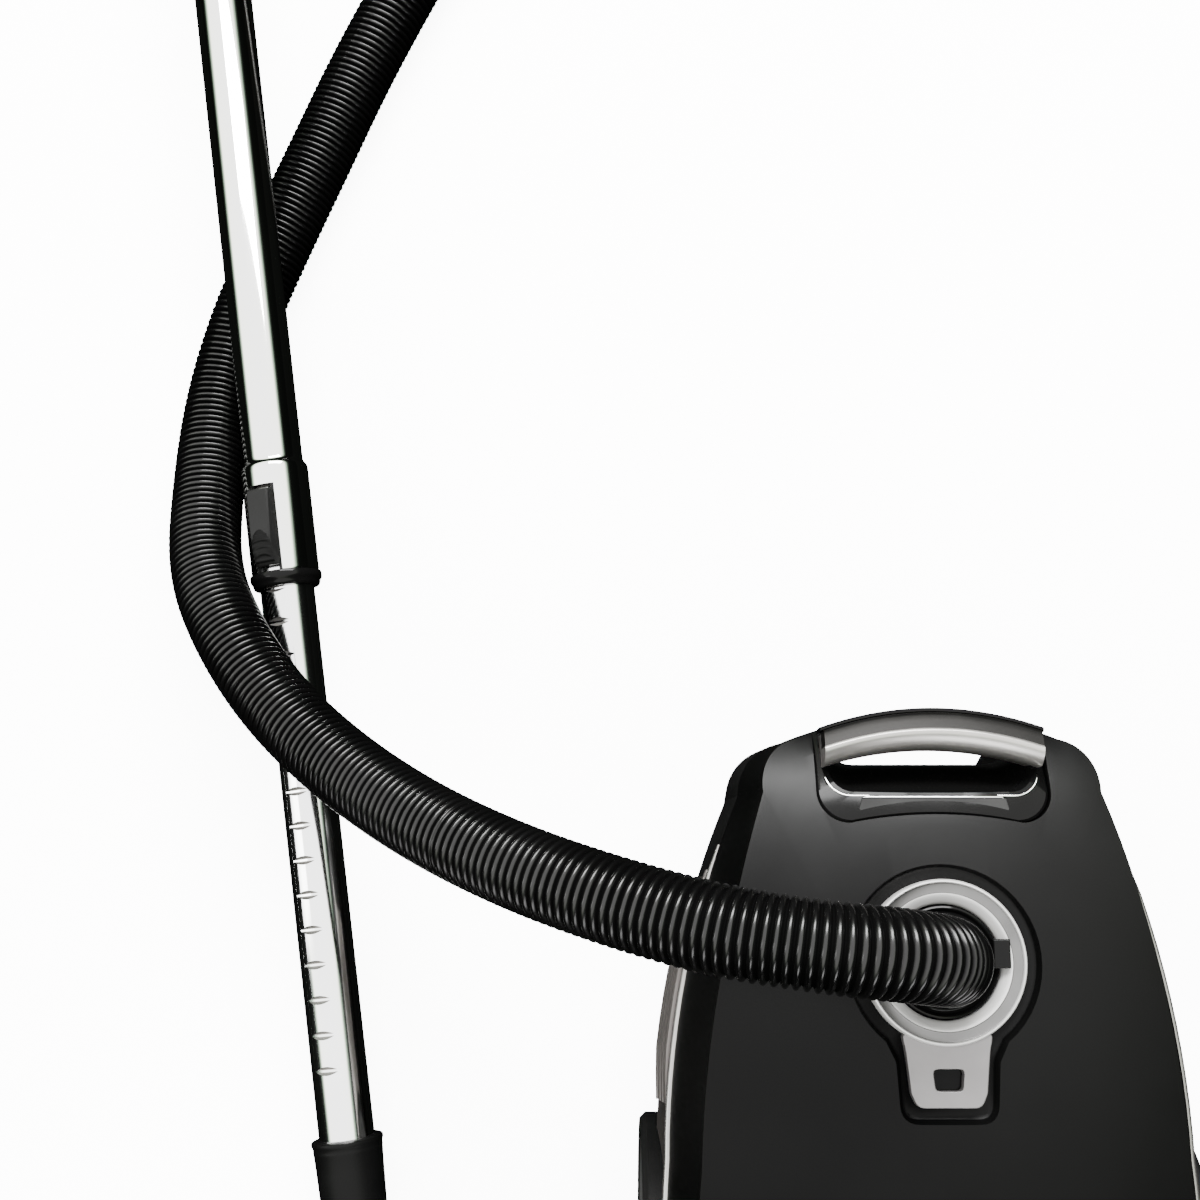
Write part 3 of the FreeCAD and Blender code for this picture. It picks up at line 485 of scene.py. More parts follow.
def finish_of(name, dark, light, rough, metal=0.0, grain=400.0, bump=0.05, drift=12.0, stretch=(1, 1, 1),
              specular=0.5, distance=0.0002):
    """A procedural finish: colour and gloss drift slowly, and a fine grain dents the surface."""
    material = bpy.data.materials.new(name)
    tree, shader = nodes_of(material)
    slow = noise(tree, drift, 4.0)
    fine = noise(tree, grain, 2.0, stretch)
    tree.links.new(shades(tree, slow, dark, light), shader.inputs["Base Color"])
    tree.links.new(ranged(tree, slow, rough[0], rough[1]), shader.inputs["Roughness"])
    dent = tree.nodes.new("ShaderNodeBump")
    dent.inputs["Strength"].default_value = bump
    dent.inputs["Distance"].default_value = distance
    tree.links.new(fine, dent.inputs["Height"])
    tree.links.new(dent.outputs["Normal"], shader.inputs["Normal"])
    shader.inputs["Metallic"].default_value = metal
    shader.inputs["Specular IOR Level"].default_value = specular
    return material


def painted_shade_in_valleys(material, low, high):
    """Scales the shine by the ridge height stored on the hose's mesh, so its valleys stay dark: painted shade
    in the valleys.
    """
    tree, shader = nodes_of(material)
    ridge = tree.nodes.new("ShaderNodeAttribute")
    ridge.attribute_name = "ridge"
    shine = ranged(tree, ridge.outputs["Fac"], low, high, 0.3, 0.8)
    tree.links.new(shine, shader.inputs["Specular IOR Level"])


def painted_sheen_toward_front(material, rear, front):
    """Raises the shine along the object, from one (place, shine) to another: a painted reflection, not the
    finish's own gloss.
    """
    tree, shader = nodes_of(material)
    place = tree.nodes.new("ShaderNodeTexCoord")
    parts = tree.nodes.new("ShaderNodeSeparateXYZ")
    tree.links.new(place.outputs["Object"], parts.inputs["Vector"])
    along = ranged(tree, parts.outputs["Y"], rear[1], front[1], rear[0] * MM, front[0] * MM)
    tree.links.new(along, shader.inputs["Specular IOR Level"])


def grey(value, tint=(1, 1, 1)):
    """A colour of one strength, a little tinted."""
    return tuple(value * share for share in tint)


WARM = (1.0, 0.965, 0.93)
CLEAR = (1, 0.99, 0.98)
BRONZE = (1, 0.92, 0.88)
# each finish: dark and light colour, roughness range, and what else sets it apart
LOOKS = {
    "lid_black": (grey(0.0012), grey(0.0020), (0.30, 0.42), dict(drift=18, grain=1400, bump=0.015)),
    "gloss_black": (grey(0.002), grey(0.003), (0.08, 0.13),
        dict(drift=10, grain=500, bump=0.015, specular=0.09)),
    "satin_black": (grey(0.004), grey(0.006), (0.36, 0.46),
        dict(drift=20, grain=1500, bump=0.1, specular=0.12)),
    "silver_paint": (grey(0.28, WARM), grey(0.34, WARM), (0.24, 0.34),
        dict(metal=0.9, drift=20, grain=2500, bump=0.05)),
    "bronze_silver": (grey(0.12, BRONZE), grey(0.16, BRONZE), (0.3, 0.4),
        dict(metal=0.8, drift=20, grain=2500, bump=0.05)),
    "bright_chrome": (grey(0.88, (1, 1, 0.97)), grey(0.93, (0.99, 1, 0.98)), (0.05, 0.09),
        dict(metal=1.0, drift=8, grain=60, bump=0.02, stretch=(8, 0.4, 8))),
    "satin_silver": (grey(0.58, WARM), grey(0.66, WARM), (0.28, 0.38),
        dict(metal=1.0, drift=30, grain=3000, bump=0.06)),
    "soft_rubber": (grey(0.0025), grey(0.004), (0.45, 0.55),
        dict(drift=30, grain=1800, bump=0.15, specular=0.1)),
    "button_grey": (grey(0.006), grey(0.008), (0.4, 0.5),
        dict(drift=40, grain=2600, bump=0.15, specular=0.11)),
    "cuff_black": (grey(0.002), grey(0.003), (0.34, 0.44),
        dict(drift=30, grain=2000, bump=0.04, specular=0.06)),
    "notch_chrome": (grey(0.90, (1, 1, 1)), grey(0.95, (0.99, 1, 1)), (0.09, 0.13),
        dict(metal=1.0, drift=8, grain=60, bump=0.015, stretch=(8, 0.4, 8))),
    "tyre_rubber": (grey(0.004), grey(0.007), (0.6, 0.75),
        dict(drift=30, grain=1200, bump=0.3, specular=0.1)),
    "hub_grey": (grey(0.03), grey(0.045), (0.35, 0.45), dict(drift=20, grain=1500, bump=0.1, specular=0.2)),
    "hose_black": (grey(0.0014), grey(0.0022), (0.19, 0.25), dict(drift=25, grain=1500, bump=0.01)),
    "handle_black": (grey(0.004), grey(0.006), (0.32, 0.42),
        dict(drift=20, grain=1500, bump=0.12, specular=0.12)),
    "bar_silver": (grey(0.36, WARM), grey(0.42, WARM), (0.26, 0.34),
        dict(metal=0.85, drift=40, grain=2600, bump=0.10, stretch=(0.05, 1, 1))),
    # the bar's front face: a darker copy of the bar's silver, painted shade
    "bar_silver_painted_shade": (grey(0.009, WARM), grey(0.013, WARM), (0.38, 0.46),
        dict(metal=0.8, drift=40, grain=2600, bump=0.10, stretch=(0.05, 1, 1), specular=0.2)),
    "ring_silver": (grey(0.10, CLEAR), grey(0.14, CLEAR), (0.26, 0.34),
        dict(metal=0.85, drift=40, grain=2600, bump=0.04)),
    # the ring's rim and cone: a lighter, half-metal copy of the ring's silver, painted highlight
    "ring_silver_painted_highlight": (grey(0.5, CLEAR), grey(0.56, CLEAR), (0.36, 0.44),
        dict(metal=0.45, drift=40, grain=2600, bump=0.03)),
    "tab_silver": (grey(0.14, (1, 0.96, 0.97)), grey(0.18, (1, 0.96, 0.97)), (0.42, 0.5),
        dict(metal=0.6, drift=40, grain=2600, bump=0.05)),
    "latch_grey": (grey(0.022), grey(0.032), (0.3, 0.38),
        dict(metal=0.5, drift=40, grain=2600, bump=0.06, specular=0.15)),
    "steel": (grey(0.45), grey(0.55), (0.25, 0.35), dict(metal=1.0, drift=30, grain=2000, bump=0.05)),
    "laminations": (grey(0.2), grey(0.32), (0.4, 0.5),
        dict(metal=1.0, drift=15, grain=900, bump=0.3, stretch=(0.2, 6, 0.2))),
    "fan_metal": (grey(0.5), grey(0.6), (0.3, 0.4), dict(metal=1.0, drift=30, grain=2000, bump=0.1)),
    "white_plastic": (grey(0.66), grey(0.74), (0.4, 0.5), dict(drift=20, grain=1500, bump=0.08)),
    "bag_fleece": (grey(0.6, WARM), grey(0.75, WARM), (0.85, 0.95),
        dict(drift=40, grain=2500, bump=0.7, distance=0.0006)),
    "filter_foam": (grey(0.12), grey(0.2), (0.85, 0.95),
        dict(drift=50, grain=1800, bump=0.8, distance=0.0008)),
    "filter_pleats": (grey(0.7), grey(0.8), (0.7, 0.8),
        dict(drift=20, grain=260, bump=0.8, stretch=(1, 0.1, 0.1), distance=0.002)),
    "window_clear": (grey(0.002), grey(0.003), (0.06, 0.1),
        dict(drift=20, grain=400, bump=0.01, specular=0.05)),
    "indicator_red": ((0.35, 0.01, 0.01), (0.45, 0.02, 0.015), (0.3, 0.4), {}),
    "bristle": (grey(0.02), grey(0.05), (0.6, 0.7),
        dict(drift=60, grain=1500, bump=0.8, stretch=(4, 4, 0.2))),
}
FINISHES = {
    name: finish_of(name, dark, light, rough, **rest) for name, (dark, light, rough, rest) in LOOKS.items()}
# painted reflection: the lid and rear cover shine more toward the front, where the lamp's reflection falls
painted_sheen_toward_front(FINISHES["lid_black"], (-460, 0.040), (-235, 0.115))
# painted shade: the hose's valleys lose their shine by ridge height
painted_shade_in_valleys(FINISHES["hose_black"], 0.0, 0.30)

# the carried-over and replaced nodes that have each finish
FINISH_NODES = {
    "satin_black": "base_shell inlet_pipe motor_bulkhead exhaust_grille caster_fork tube_bush "
                   "nozzle_cuff telescope_button nozzle_neck nozzle_head",
    "bronze_silver": "side_panels",
    "silver_paint": "side_trims",
    "soft_rubber": "bumper inlet_seal cord_outlet grip_pad",
    "gloss_black": "handle_surround hose_cuff cuff_latch collar_ring hose_swivel",
    "satin_silver": "carry_handle handle_grip_pad power_button rewind_button power_slider inlet_ring "
                    "wand_lock suction_slider",
    "lid_black": "lid rear_cover",
    "steel": "lid_hinge_pin motor_housing reel_bracket wheel_axles sole_plate",
    "hub_grey": "lid_latch hub_left hub_right foot_pedal",
    "window_clear": "indicator_window",
    "indicator_red": "indicator_flag",
    "bag_fleece": "dust_bag",
    "white_plastic": "bag_holder cord_reel",
    "filter_foam": "motor_filter",
    "laminations": "motor_stator motor_rotor",
    "fan_metal": "motor_fan",
    "filter_pleats": "exhaust_filter",
    "tyre_rubber": "tyre_left tyre_right caster_wheel nozzle_rollers",
    "bright_chrome": "outer_tube inner_tube",
    "handle_black": "handle_grip",
    "bristle": "brush_strips",
    "hose_black": "hose_near hose_far",
}
NODE_FINISH = {node: finish for finish, nodes in FINISH_NODES.items() for node in nodes.split()}


# ---------------------------------------------------------------- canister casing

# half of the casing's plan at its waist, as the ends and middles of arcs, front to rear
PLAN = [(0, 129), (76, 114), (93, 104), (99, 86), (124, 12), (138, -100), (139, -180), (130, -255),
        (118, -290), (85, -304), (0, -311)]
PLAN_MIDDLE = -91
# height, share of the plan's width, share of its length
LEVELS = [(20, 0.90, 0.94), (60, 0.975, 0.985), (112, 1.0, 1.0), (150.6, 0.963, 0.994), (192, 0.862, 0.988),
          (214, 0.80, 0.985)]
CROWN = [(-325, 170), (-262, 191), (-150, 203), (0, 208), (70, 201), (110, 186), (134, 160)]
SEAM = 150.6
LID_REAR = -258
COVER_FRONT = -265.5
WALL = 3
# half of the casing's width and length, by which an inset shrinks its plan
HALF_WIDTH, HALF_LENGTH = 139, 220
# the crown's arch across, and where and how it falls away outside the middle panel
CROWN_RADIUS, PANEL_HALF, PANEL_FALL, PANEL_EASE = 613.7, 72, 0.035, 6
# heights between which the walls always meet the crown
CREASE_LOW, CREASE_HIGH = 100.0, 214.0
# rings of the casing: shares of the wall's height, then shares of the crown from its edge inwards
WALL_SHARES = (0, 0.33, 0.66, 1)
CROWN_SHARES = (0.985, 0.95, 0.89, 0.81, 0.72, 0.62, 0.51, 0.4, 0.29, 0.18, 0.08)
# cutting forms reach from BELOW the seam to ABOVE the crown and to OUTSIDE on every side
BELOW, ABOVE, OUTSIDE = 100, 240, 200
# height at which round cutting rods start, and their length
ROD_LOW, ROD_LENGTH = 150, 80


def mirrored(points):
    """The same points on the other side of the casing, in the opposite order."""
    return [(-x, y) for x, y in reversed(points)]


def corner_arc(half, rear, corner):
    """A quarter circle round the rear right corner of an opening in the plan."""
    return [(half - corner * (1 - math.cos(a)), rear + corner * (1 - math.sin(a)))
            for a in (math.pi / 2 * k / 10 for k in range(11))]


def plan_outline():
    """The whole outline, from the middle of the front round by the right."""
    right = arc_through(*mirrored(PLAN[1:2]), PLAN[0], PLAN[1], 24)[12:]
    for k in range(1, 9, 2):
        right += arc_through(PLAN[k], PLAN[k + 1], PLAN[k + 2], 14)
    right += arc_through(PLAN[9], PLAN[10], *mirrored(PLAN[9:10]), 24)[:12]
    return right + [(0, PLAN[10][1])] + mirrored(right[1:])


OUTLINE = plan_outline()


def spread_at(height):
    """The shares of the plan's width and length at a height."""
    for (low, wide, long), (high, wide2, long2) in zip(LEVELS, LEVELS[1:]):
        if height <= high:
            share = max(0, (height - low) / (high - low))
            return wide + (wide2 - wide) * share, long + (long2 - long) * share
    return LEVELS[-1][1:]


def crown_centre(along):
    """The crown's height on the centre line, as a smooth curve through its stations."""
    along = min(max(along, CROWN[0][0]), CROWN[-1][0])
    k = next(k for k in range(len(CROWN) - 1) if along <= CROWN[k + 1][0])

    def slope(n):
        n0, n1 = max(n - 1, 0), min(n + 1, len(CROWN) - 1)
        return (CROWN[n1][1] - CROWN[n0][1]) / (CROWN[n1][0] - CROWN[n0][0])

    (x0, y0), (x1, y1) = CROWN[k], CROWN[k + 1]
    width = x1 - x0
    u = (along - x0) / width
    return (y0 * (1 + 2 * u) * (1 - u) ** 2 + slope(k) * width * u * (1 - u) ** 2
            + y1 * u * u * (3 - 2 * u) + slope(k + 1) * width * u * u * (u - 1))


def crown(x, y):
    """The lid's height: a shallow arch across, a little steeper outside the middle panel."""
    fall = CROWN_RADIUS - math.sqrt(CROWN_RADIUS ** 2 - x * x)
    shoulder = max(0.0, abs(x) - PANEL_HALF)
    return crown_centre(y) - fall - PANEL_FALL * shoulder * shoulder / (shoulder + PANEL_EASE)


def wall_point(corner, height, inset=0.0):
    """Where the wall over one corner of the plan is at a height."""
    wide, long = spread_at(height)
    wide *= 1 - inset / HALF_WIDTH
    long *= 1 - inset / HALF_LENGTH
    return corner[0] * wide, PLAN_MIDDLE + (corner[1] - PLAN_MIDDLE) * long


def crease_of(corner, inset, drop):
    """Where the wall over one corner of the plan meets the crown."""
    low, high = CREASE_LOW, CREASE_HIGH
    for _ in range(30):
        height = (low + high) / 2
        x, y = wall_point(corner, height, inset)
        if crown(x, y) - drop(x, y) > height:
            low = height
        else:
            high = height
    return low


def casing_form(floor, inset=0.0, drop=lambda x, y: 0.0):
    """The closed form between a floor height and the crown, as rings from the floor to the middle."""
    rings = []
    creases = [crease_of(corner, inset, drop) for corner in OUTLINE]
    for share in WALL_SHARES:
        ring = []
        for corner, top in zip(OUTLINE, creases):
            height = floor + (top - floor) * share
            ring.append((*wall_point(corner, height, inset), height))
        rings.append(ring)
    edge = rings[-1]
    for share in CROWN_SHARES:
        ring = []
        for x, y, _ in edge:
            x, y = x * share, PLAN_MIDDLE + (y - PLAN_MIDDLE) * share
            ring.append((x, y, crown(x, y) - drop(x, y)))
        rings.append(ring)
    return skin([local(CANISTER, *ring) for ring in rings], closed_ends=True)


def mesh_of(vertices, faces):
    """A mesh that only cuts others."""
    mesh = bpy.data.meshes.new("form")
    mesh.from_pydata([tuple(v) for v in vertices], [], faces)
    return mesh


def box_mesh(low, high, place=CANISTER):
    corners = list(itertools.product(*zip(low, high)))
    faces = [(0, 1, 3, 2), (4, 6, 7, 5), (0, 4, 5, 1), (2, 3, 7, 6), (0, 2, 6, 4), (1, 5, 7, 3)]
    return mesh_of(local(place, *corners), faces)


def rod_mesh(at, radius, length, place=CANISTER):
    x, y, z = at
    turns = [2 * math.pi * k / 64 for k in range(64)]
    circle = [(x + radius * math.cos(turn), y + radius * math.sin(turn)) for turn in turns]
    rings = [local(place, *[(*point, z + height) for point in circle]) for height in (0, length)]
    return mesh_of(*skin(rings, closed_ends=True))


# the moat round the inlet ring and its tab: the circle's radius, the tongue's half-width, foot and corner
MOAT_RADIUS, TONGUE_HALF, TONGUE_FOOT, TONGUE_CORNER = 47.5, 23, -76, 9
# how much wider the moat is at each height
MOAT_LEVELS = [(-3, 201.2), (-1.6, 202), (-0.2, 204.5), (0.6, 207), (2.6, 209), (8, 212)]
# how much thicker the lid is under the moat, and over what distance round it that fades
PAD_DEPTH, PAD_REACH, PAD_FADE = 10, 12, 6


def moat_outline():
    """A circle joined to a tongue that runs rearwards, with soft corners."""
    rim = [(MOAT_RADIUS * math.cos(turn), MOAT_RADIUS * math.sin(turn))
           for turn in (math.radians(-52 + 284 * k / 40) for k in range(41))]
    shoulder, half = -MOAT_RADIUS * 0.99, TONGUE_HALF
    tongue = [(-half - 1.5, shoulder), (-half, TONGUE_FOOT), (half, TONGUE_FOOT), (half + 1.5, shoulder)]
    tongue = rounded([rim[-1]] + tongue + [rim[0]], TONGUE_CORNER, 6, closed=False)[1:-1]
    return [Vector(point) for point in rim] + tongue


def inside_moat(x, y):
    """How deep a point lies in the thick part of the lid round the inlet, from 0 to 1."""
    reach = min(math.hypot(x, y) - MOAT_RADIUS, max(abs(x) - TONGUE_HALF, TONGUE_FOOT - y, y))
    return min(1.0, max(0.0, (PAD_REACH - reach) / PAD_FADE))


# half-width, rear edge, arch and corner of the handle surround's plan
COWL_HALF, COWL_REAR, COWL_ARCH, COWL_CORNER = 58.5, 68.5, 4.2, 16
# openings run on to here, past the front of the casing
PAST_FRONT = 170


def cowl_outline(grow=0.0):
    """The plan of the handle surround, open at the front."""
    half, rear = COWL_HALF + grow, COWL_REAR - grow
    foot = half - COWL_CORNER
    corner = corner_arc(half, rear, COWL_CORNER)
    arch = arc_through((foot, rear), (0, rear + COWL_ARCH), (-foot, rear), 20)[1:]
    return [(half, PAST_FRONT)] + corner + arch + mirrored(corner) + [(-half, PAST_FRONT)]


def make_lid():
    thing = piece("lid_shell", *casing_form(SEAM), "lid", FINISHES["lid_black"])
    hollow = mesh_of(*casing_form(SEAM - 20, WALL, lambda x, y: WALL + PAD_DEPTH * inside_moat(x, y)))
    notch = cutter(list(reversed(cowl_outline(0.6))), [(0, BELOW), (0, ABOVE)], CANISTER)
    moat = cutter(moat_outline(), MOAT_LEVELS, CANISTER)
    rear = box_mesh((-OUTSIDE, -2 * OUTSIDE, BELOW), (OUTSIDE, LID_REAR, ABOVE))
    bore = rod_mesh((0, 0, ROD_LOW), 27.9, ROD_LENGTH)
    window = box_mesh((-7, -60.5, ROD_LOW), (7, -50.5, ABOVE))
    carved(thing, [hollow, notch, rear, moat, bore, window])
    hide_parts("lid")
    softened(thing, 1.0, 38)


def make_rear_cover():
    thing = piece("rear_cover_shell", *casing_form(SEAM), "canister", FINISHES["lid_black"])
    hollow = mesh_of(*casing_form(SEAM - 20, WALL, lambda x, y: WALL))
    front = box_mesh((-OUTSIDE, COVER_FRONT, BELOW), (OUTSIDE, OUTSIDE, ABOVE))
    slider_slot = box_mesh((-25, -291, 165), (25, -279, 260))
    button_holes = [rod_mesh((side * 78, -285, ROD_LOW), 11.5, ROD_LENGTH) for side in (-1, 1)]
    carved(thing, [hollow, front, slider_slot, *button_holes])
    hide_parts("rear_cover")
    softened(thing, 0.8, 38)


def recess_outline(half, rear, corner):
    """The plan of the well, open at the front."""
    arc = corner_arc(half, rear, corner)
    return [(half, PAST_FRONT)] + arc + mirrored(arc) + [(-half, PAST_FRONT)]


# the front of the surround, and the middle that its top's rings shrink towards
SURROUND_FRONT, SURROUND_MIDDLE = 128, 118
SURROUND_SHARES = (1.0, 0.98, 0.9, 0.75, 0.5, 0.2)
# how far its top lies under the crown, how far its edge does, and the least height of both
SURROUND_DROP, SURROUND_EDGE_DROP, SURROUND_LEAST = 3.4, 4.2, 166
# the well at four heights: half-width, rear edge, corner and height
WELL = [(49.5, 101.8, 15, 100), (49.5, 101.8, 15, 150), (53.8, 82.4, 13, 196.5), (54, 75, 13, 214)]


def downward(rings):
    """Closed rings listed the other way round, so that the form's faces look outwards."""
    return skin([local(CANISTER, *reversed(ring)) for ring in rings], True)


def make_surround():
    """The black surround: its top lies a little under the lid, and a well opens behind the bar."""
    outline = [(x, min(y, SURROUND_FRONT)) for x, y in cowl_outline()]
    rings = [[(x, y, height) for x, y in outline] for height in (SEAM - 0.6, 165)]
    for share in SURROUND_SHARES:
        drop = SURROUND_EDGE_DROP if share == 1.0 else SURROUND_DROP
        ring = []
        for x, y in outline:
            x, y = x * share, SURROUND_MIDDLE + (y - SURROUND_MIDDLE) * share
            ring.append((x, y, max(crown(x, y) - drop, SURROUND_LEAST)))
        rings.append(ring)
    thing = piece("handle_surround_shell", *downward(rings), "canister", FINISHES["gloss_black"])
    well = [[(x, y, height) for x, y in recess_outline(*size)] for *size, height in WELL]
    carved(thing, [mesh_of(*downward(well))])
    carved(thing, [mesh_of(*casing_form(BELOW))], "INTERSECT")
    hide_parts("handle_surround")
    softened(thing, 0.7, 40)


def tube(name, path, radius, body, material, sides=12):
    """A thin round rod along points in metres."""
    stations = []
    for k, point in enumerate(path):
        before, after = path[max(k - 1, 0)], path[min(k + 1, len(path) - 1)]
        stations.append((point, (after - before).normalized(), radius * MM))
    return piece(name, *skin(tube_rings(stations, sides, Vector((0.1, 0.2, 1))), True), body, material)


def make_handle_trim():
    """The thin bright line round the well, and the latch plate with its bright upper edge."""
    edge = recess_outline(54.2, 81.9, 13)[2:-2]
    path = local(CANISTER, *[(x, y, crown(x, y) - 3.5) for x, y in edge])
    bead = tube("well_bright_line", path, 0.55, "canister", FINISHES["bright_chrome"])
    low = arc_through((-37.6, 73.2), (0, 77.3), (37.6, 73.2), 14) + [(37.6, 73.2)]
    outline = low + [(37.8, 75.5), (36.2, 81.0), (-36.2, 81.0), (-37.8, 75.5)]
    plate = slab("latch_plate", outline, 190.2, 195.5, CANISTER, "lid_latch", FINISHES["latch_grey"], 0.6)
    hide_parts("lid_latch")
    path = local(CANISTER, (-36, 80.7, 195.3), (-34, 81.1, 195.6), (34, 81.1, 195.6), (36, 80.7, 195.3))
    lip = tube("latch_bright_edge", path, 0.5, "lid_latch", FINISHES["bright_chrome"])


# the bar's two halves in section, as shares of its width and heights; the front half wears painted shade
BAR_REAR = [(0.02, 186.3), (0.0, 187), (0.0, 194.2), (0.02, 196.2), (0.09, 198.9), (0.21, 201.3),
            (0.33, 203.1), (0.40, 203.7), (0.46, 203.9), (0.50, 203.6), (0.53, 203.1), (0.53, 186.3)]
BAR_FRONT = [(0.525, 186.3), (0.525, 203.1), (0.6, 202.55), (0.75, 201.5), (0.89, 200.3), (0.965, 199.3),
             (0.99, 198.3), (1.0, 196.8), (1.0, 186.3)]
BAR_LIP = [(1.0, 180), (1.0, 196), (1.03, 197), (1.1, 197), (1.135, 195.5), (1.15, 192), (1.15, 180)]
# the bar's half-length, and its rear and front edges: where each ends, and how much further out its middle is
BAR_HALF, BAR_STEPS = 55, 48
REAR_END, REAR_ARCH, FRONT_END, FRONT_ARCH = 96.5, 9, 114.5, 9.3


def arched(section, reach=0.0):
    """A section carried along the bar's arch from side to side."""
    rings = []
    for k in range(BAR_STEPS + 1):
        x = (-BAR_HALF - reach) + (2 * BAR_HALF + 2 * reach) * k / BAR_STEPS
        arch = 1 - (x / BAR_HALF) ** 2
        rear, front = REAR_END + REAR_ARCH * arch, FRONT_END + FRONT_ARCH * arch
        rings.append(local(CANISTER, *[(x, rear + (front - rear) * share, z) for share, z in section]))
    return skin(rings, True)


def make_bar():
    # the front half takes a darker copy of the rear half's silver: painted shade on the bar's front face
    halves = (("carry_bar_rear", BAR_REAR, "bar_silver"), ("carry_bar_front", BAR_FRONT, "bar_silver_painted_shade"))
    for name, section, finish in halves:
        thing = creased(piece(name, *arched(section), "canister", FINISHES[finish]), 30)
        if name == "carry_bar_rear":
            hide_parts("carry_handle")
    rim = creased(piece("carry_bar_lip", *arched(BAR_LIP, 1.6), "canister", FINISHES["gloss_black"]), 30)


# loops of (radius, height) round the inlet
RIM_PROFILE = [(38.2, 201.2), (40, 201.2), (40, 208.4), (39.75, 209.5), (39.2, 210.1), (38.6, 210.2),
               (38.2, 209.9), (38.0, 209.3), (38.0, 201.2)]
RING_PROFILE = [(38.0, 201.2), (38.0, 209.0), (37.5, 208.8), (34.0, 208.4), (33.4, 208.4),
                (33.2, 208.0), (33.2, 201.2)]
CONE_PROFILE = [(33.2, 201.2), (33.2, 208.3), (32.9, 208.7), (32.3, 208.6), (31.0, 207.9), (29.4, 206.9),
                (28.3, 205.9), (27.95, 205), (27.95, 201.2)]
CUFF_PROFILE = [(17, 166), (27.3, 166), (27.3, 205.2), (26.9, 206.2), (26.1, 206.5), (25.4, 206.1),
                (25.0, 205.0), (24.5, 204.6), (23.9, 204.9), (23.2, 205.7), (22.6, 205.9), (22, 205.4),
                (22, 200), (17, 200)]
# the ring's tab: its right side, its hole, and the middle of both
TAB_SIDE = [(22.5, -33.2), (20.6, -41), (19.8, -48), (18.4, -62), (15.5, -68.8)]
TAB_HOLE = [(7.6, -50.6), (6.5, -60.8), (-6.5, -60.8), (-7.6, -50.6)]
TAB_MIDDLE = (0, -54)


def make_ring():
    ring = lathe("inlet_ring_metal", RING_PROFILE, CANISTER, "lid", FINISHES["ring_silver"], 128)
    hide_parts("inlet_ring")
    # the rim and the cone take a lighter copy of the ring's silver: painted highlight where they catch the
    # light
    rim = lathe("inlet_ring_rim", RIM_PROFILE, CANISTER, "lid", FINISHES["ring_silver_painted_highlight"], 128)
    cone = lathe("inlet_ring_cone", CONE_PROFILE, CANISTER, "lid", FINISHES["ring_silver_painted_highlight"], 128)
    cuff = lathe("hose_cuff_moulding", CUFF_PROFILE, CANISTER, "hose_cuff", FINISHES["gloss_black"], 96)
    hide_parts("hose_cuff")
    outer = resampled(rounded(TAB_SIDE + mirrored(TAB_SIDE), 5, 6), 96, TAB_MIDDLE)
    inner = resampled(rounded(TAB_HOLE, 2.6, 6), 96, TAB_MIDDLE)
    tab = slab("inlet_tab", outer, 201.2, 208, CANISTER, "lid", FINISHES["tab_silver"], 0.7, inner)


# each side moulding: how far out and how high its corners are, a rib's from its own middle
TRIM_SECTION = [(-1.5, 150.2), (0.9, 150.2), (1.8, 149.6), (2.2, 148.4), (2.0, 146.6), (1.4, 145.6),
                (-1.5, 145.4)]
RIB_SECTION = [(-1.5, 2.2), (2.6, 2.2), (3.4, 1.2), (3.6, 0), (3.4, -1.2), (2.6, -2.2), (-1.5, -2.2)]
# where the trim and the ribs start and end along the casing, and how the ribs step down
TRIM_FRONT, TRIM_END = 66, -262
RIB_COUNT, RIB_TOP, RIB_STEP, RIB_FRONT, RIB_SHORTER, RIB_END = 5, 138, 8.5, 50, 6, -78


def side_moulding(name, side, section, first, last, slot):
    """A strip along one side of the casing from one place to another, thinner at its ends."""
    corners = [corner for corner in OUTLINE if corner[0] > 0 and last < corner[1] < first]
    corners.sort(key=lambda corner: -corner[1])
    centre = (section[0][1] + section[-1][1]) / 2
    rings = []
    for k, corner in enumerate(corners):
        size = 0.35 + 0.65 * min(1.0, k / 2, (len(corners) - 1 - k) / 2)
        ring = []
        for out, height in section:
            x, y = wall_point(corner, height)
            ring.append((side * (x + out * size), y, centre + (height - centre) * size))
        rings.append(local(CANISTER, *ring))
    if side < 0:
        rings.reverse()
    thing = creased(piece(name, *skin(rings, True), "canister", FINISHES[slot]), 40)


def make_side_mouldings():
    for hand, side in (("left", -1), ("right", 1)):
        side_moulding("side_trim_" + hand, side, TRIM_SECTION, TRIM_FRONT, TRIM_END, "silver_paint")
        for row in range(RIB_COUNT):
            height = RIB_TOP - RIB_STEP * row
            section = [(out, height + rise) for out, rise in RIB_SECTION]
            first = RIB_FRONT - RIB_SHORTER * row
            side_moulding(f"side_rib_{hand}_{row + 1}", side, section, first, RIB_END, "bronze_silver")


def make_casing():
    make_side_mouldings()
    make_lid()
    make_rear_cover()
    make_surround()
    make_handle_trim()
    make_bar()
    make_ring()


# ---------------------------------------------------------------- wand

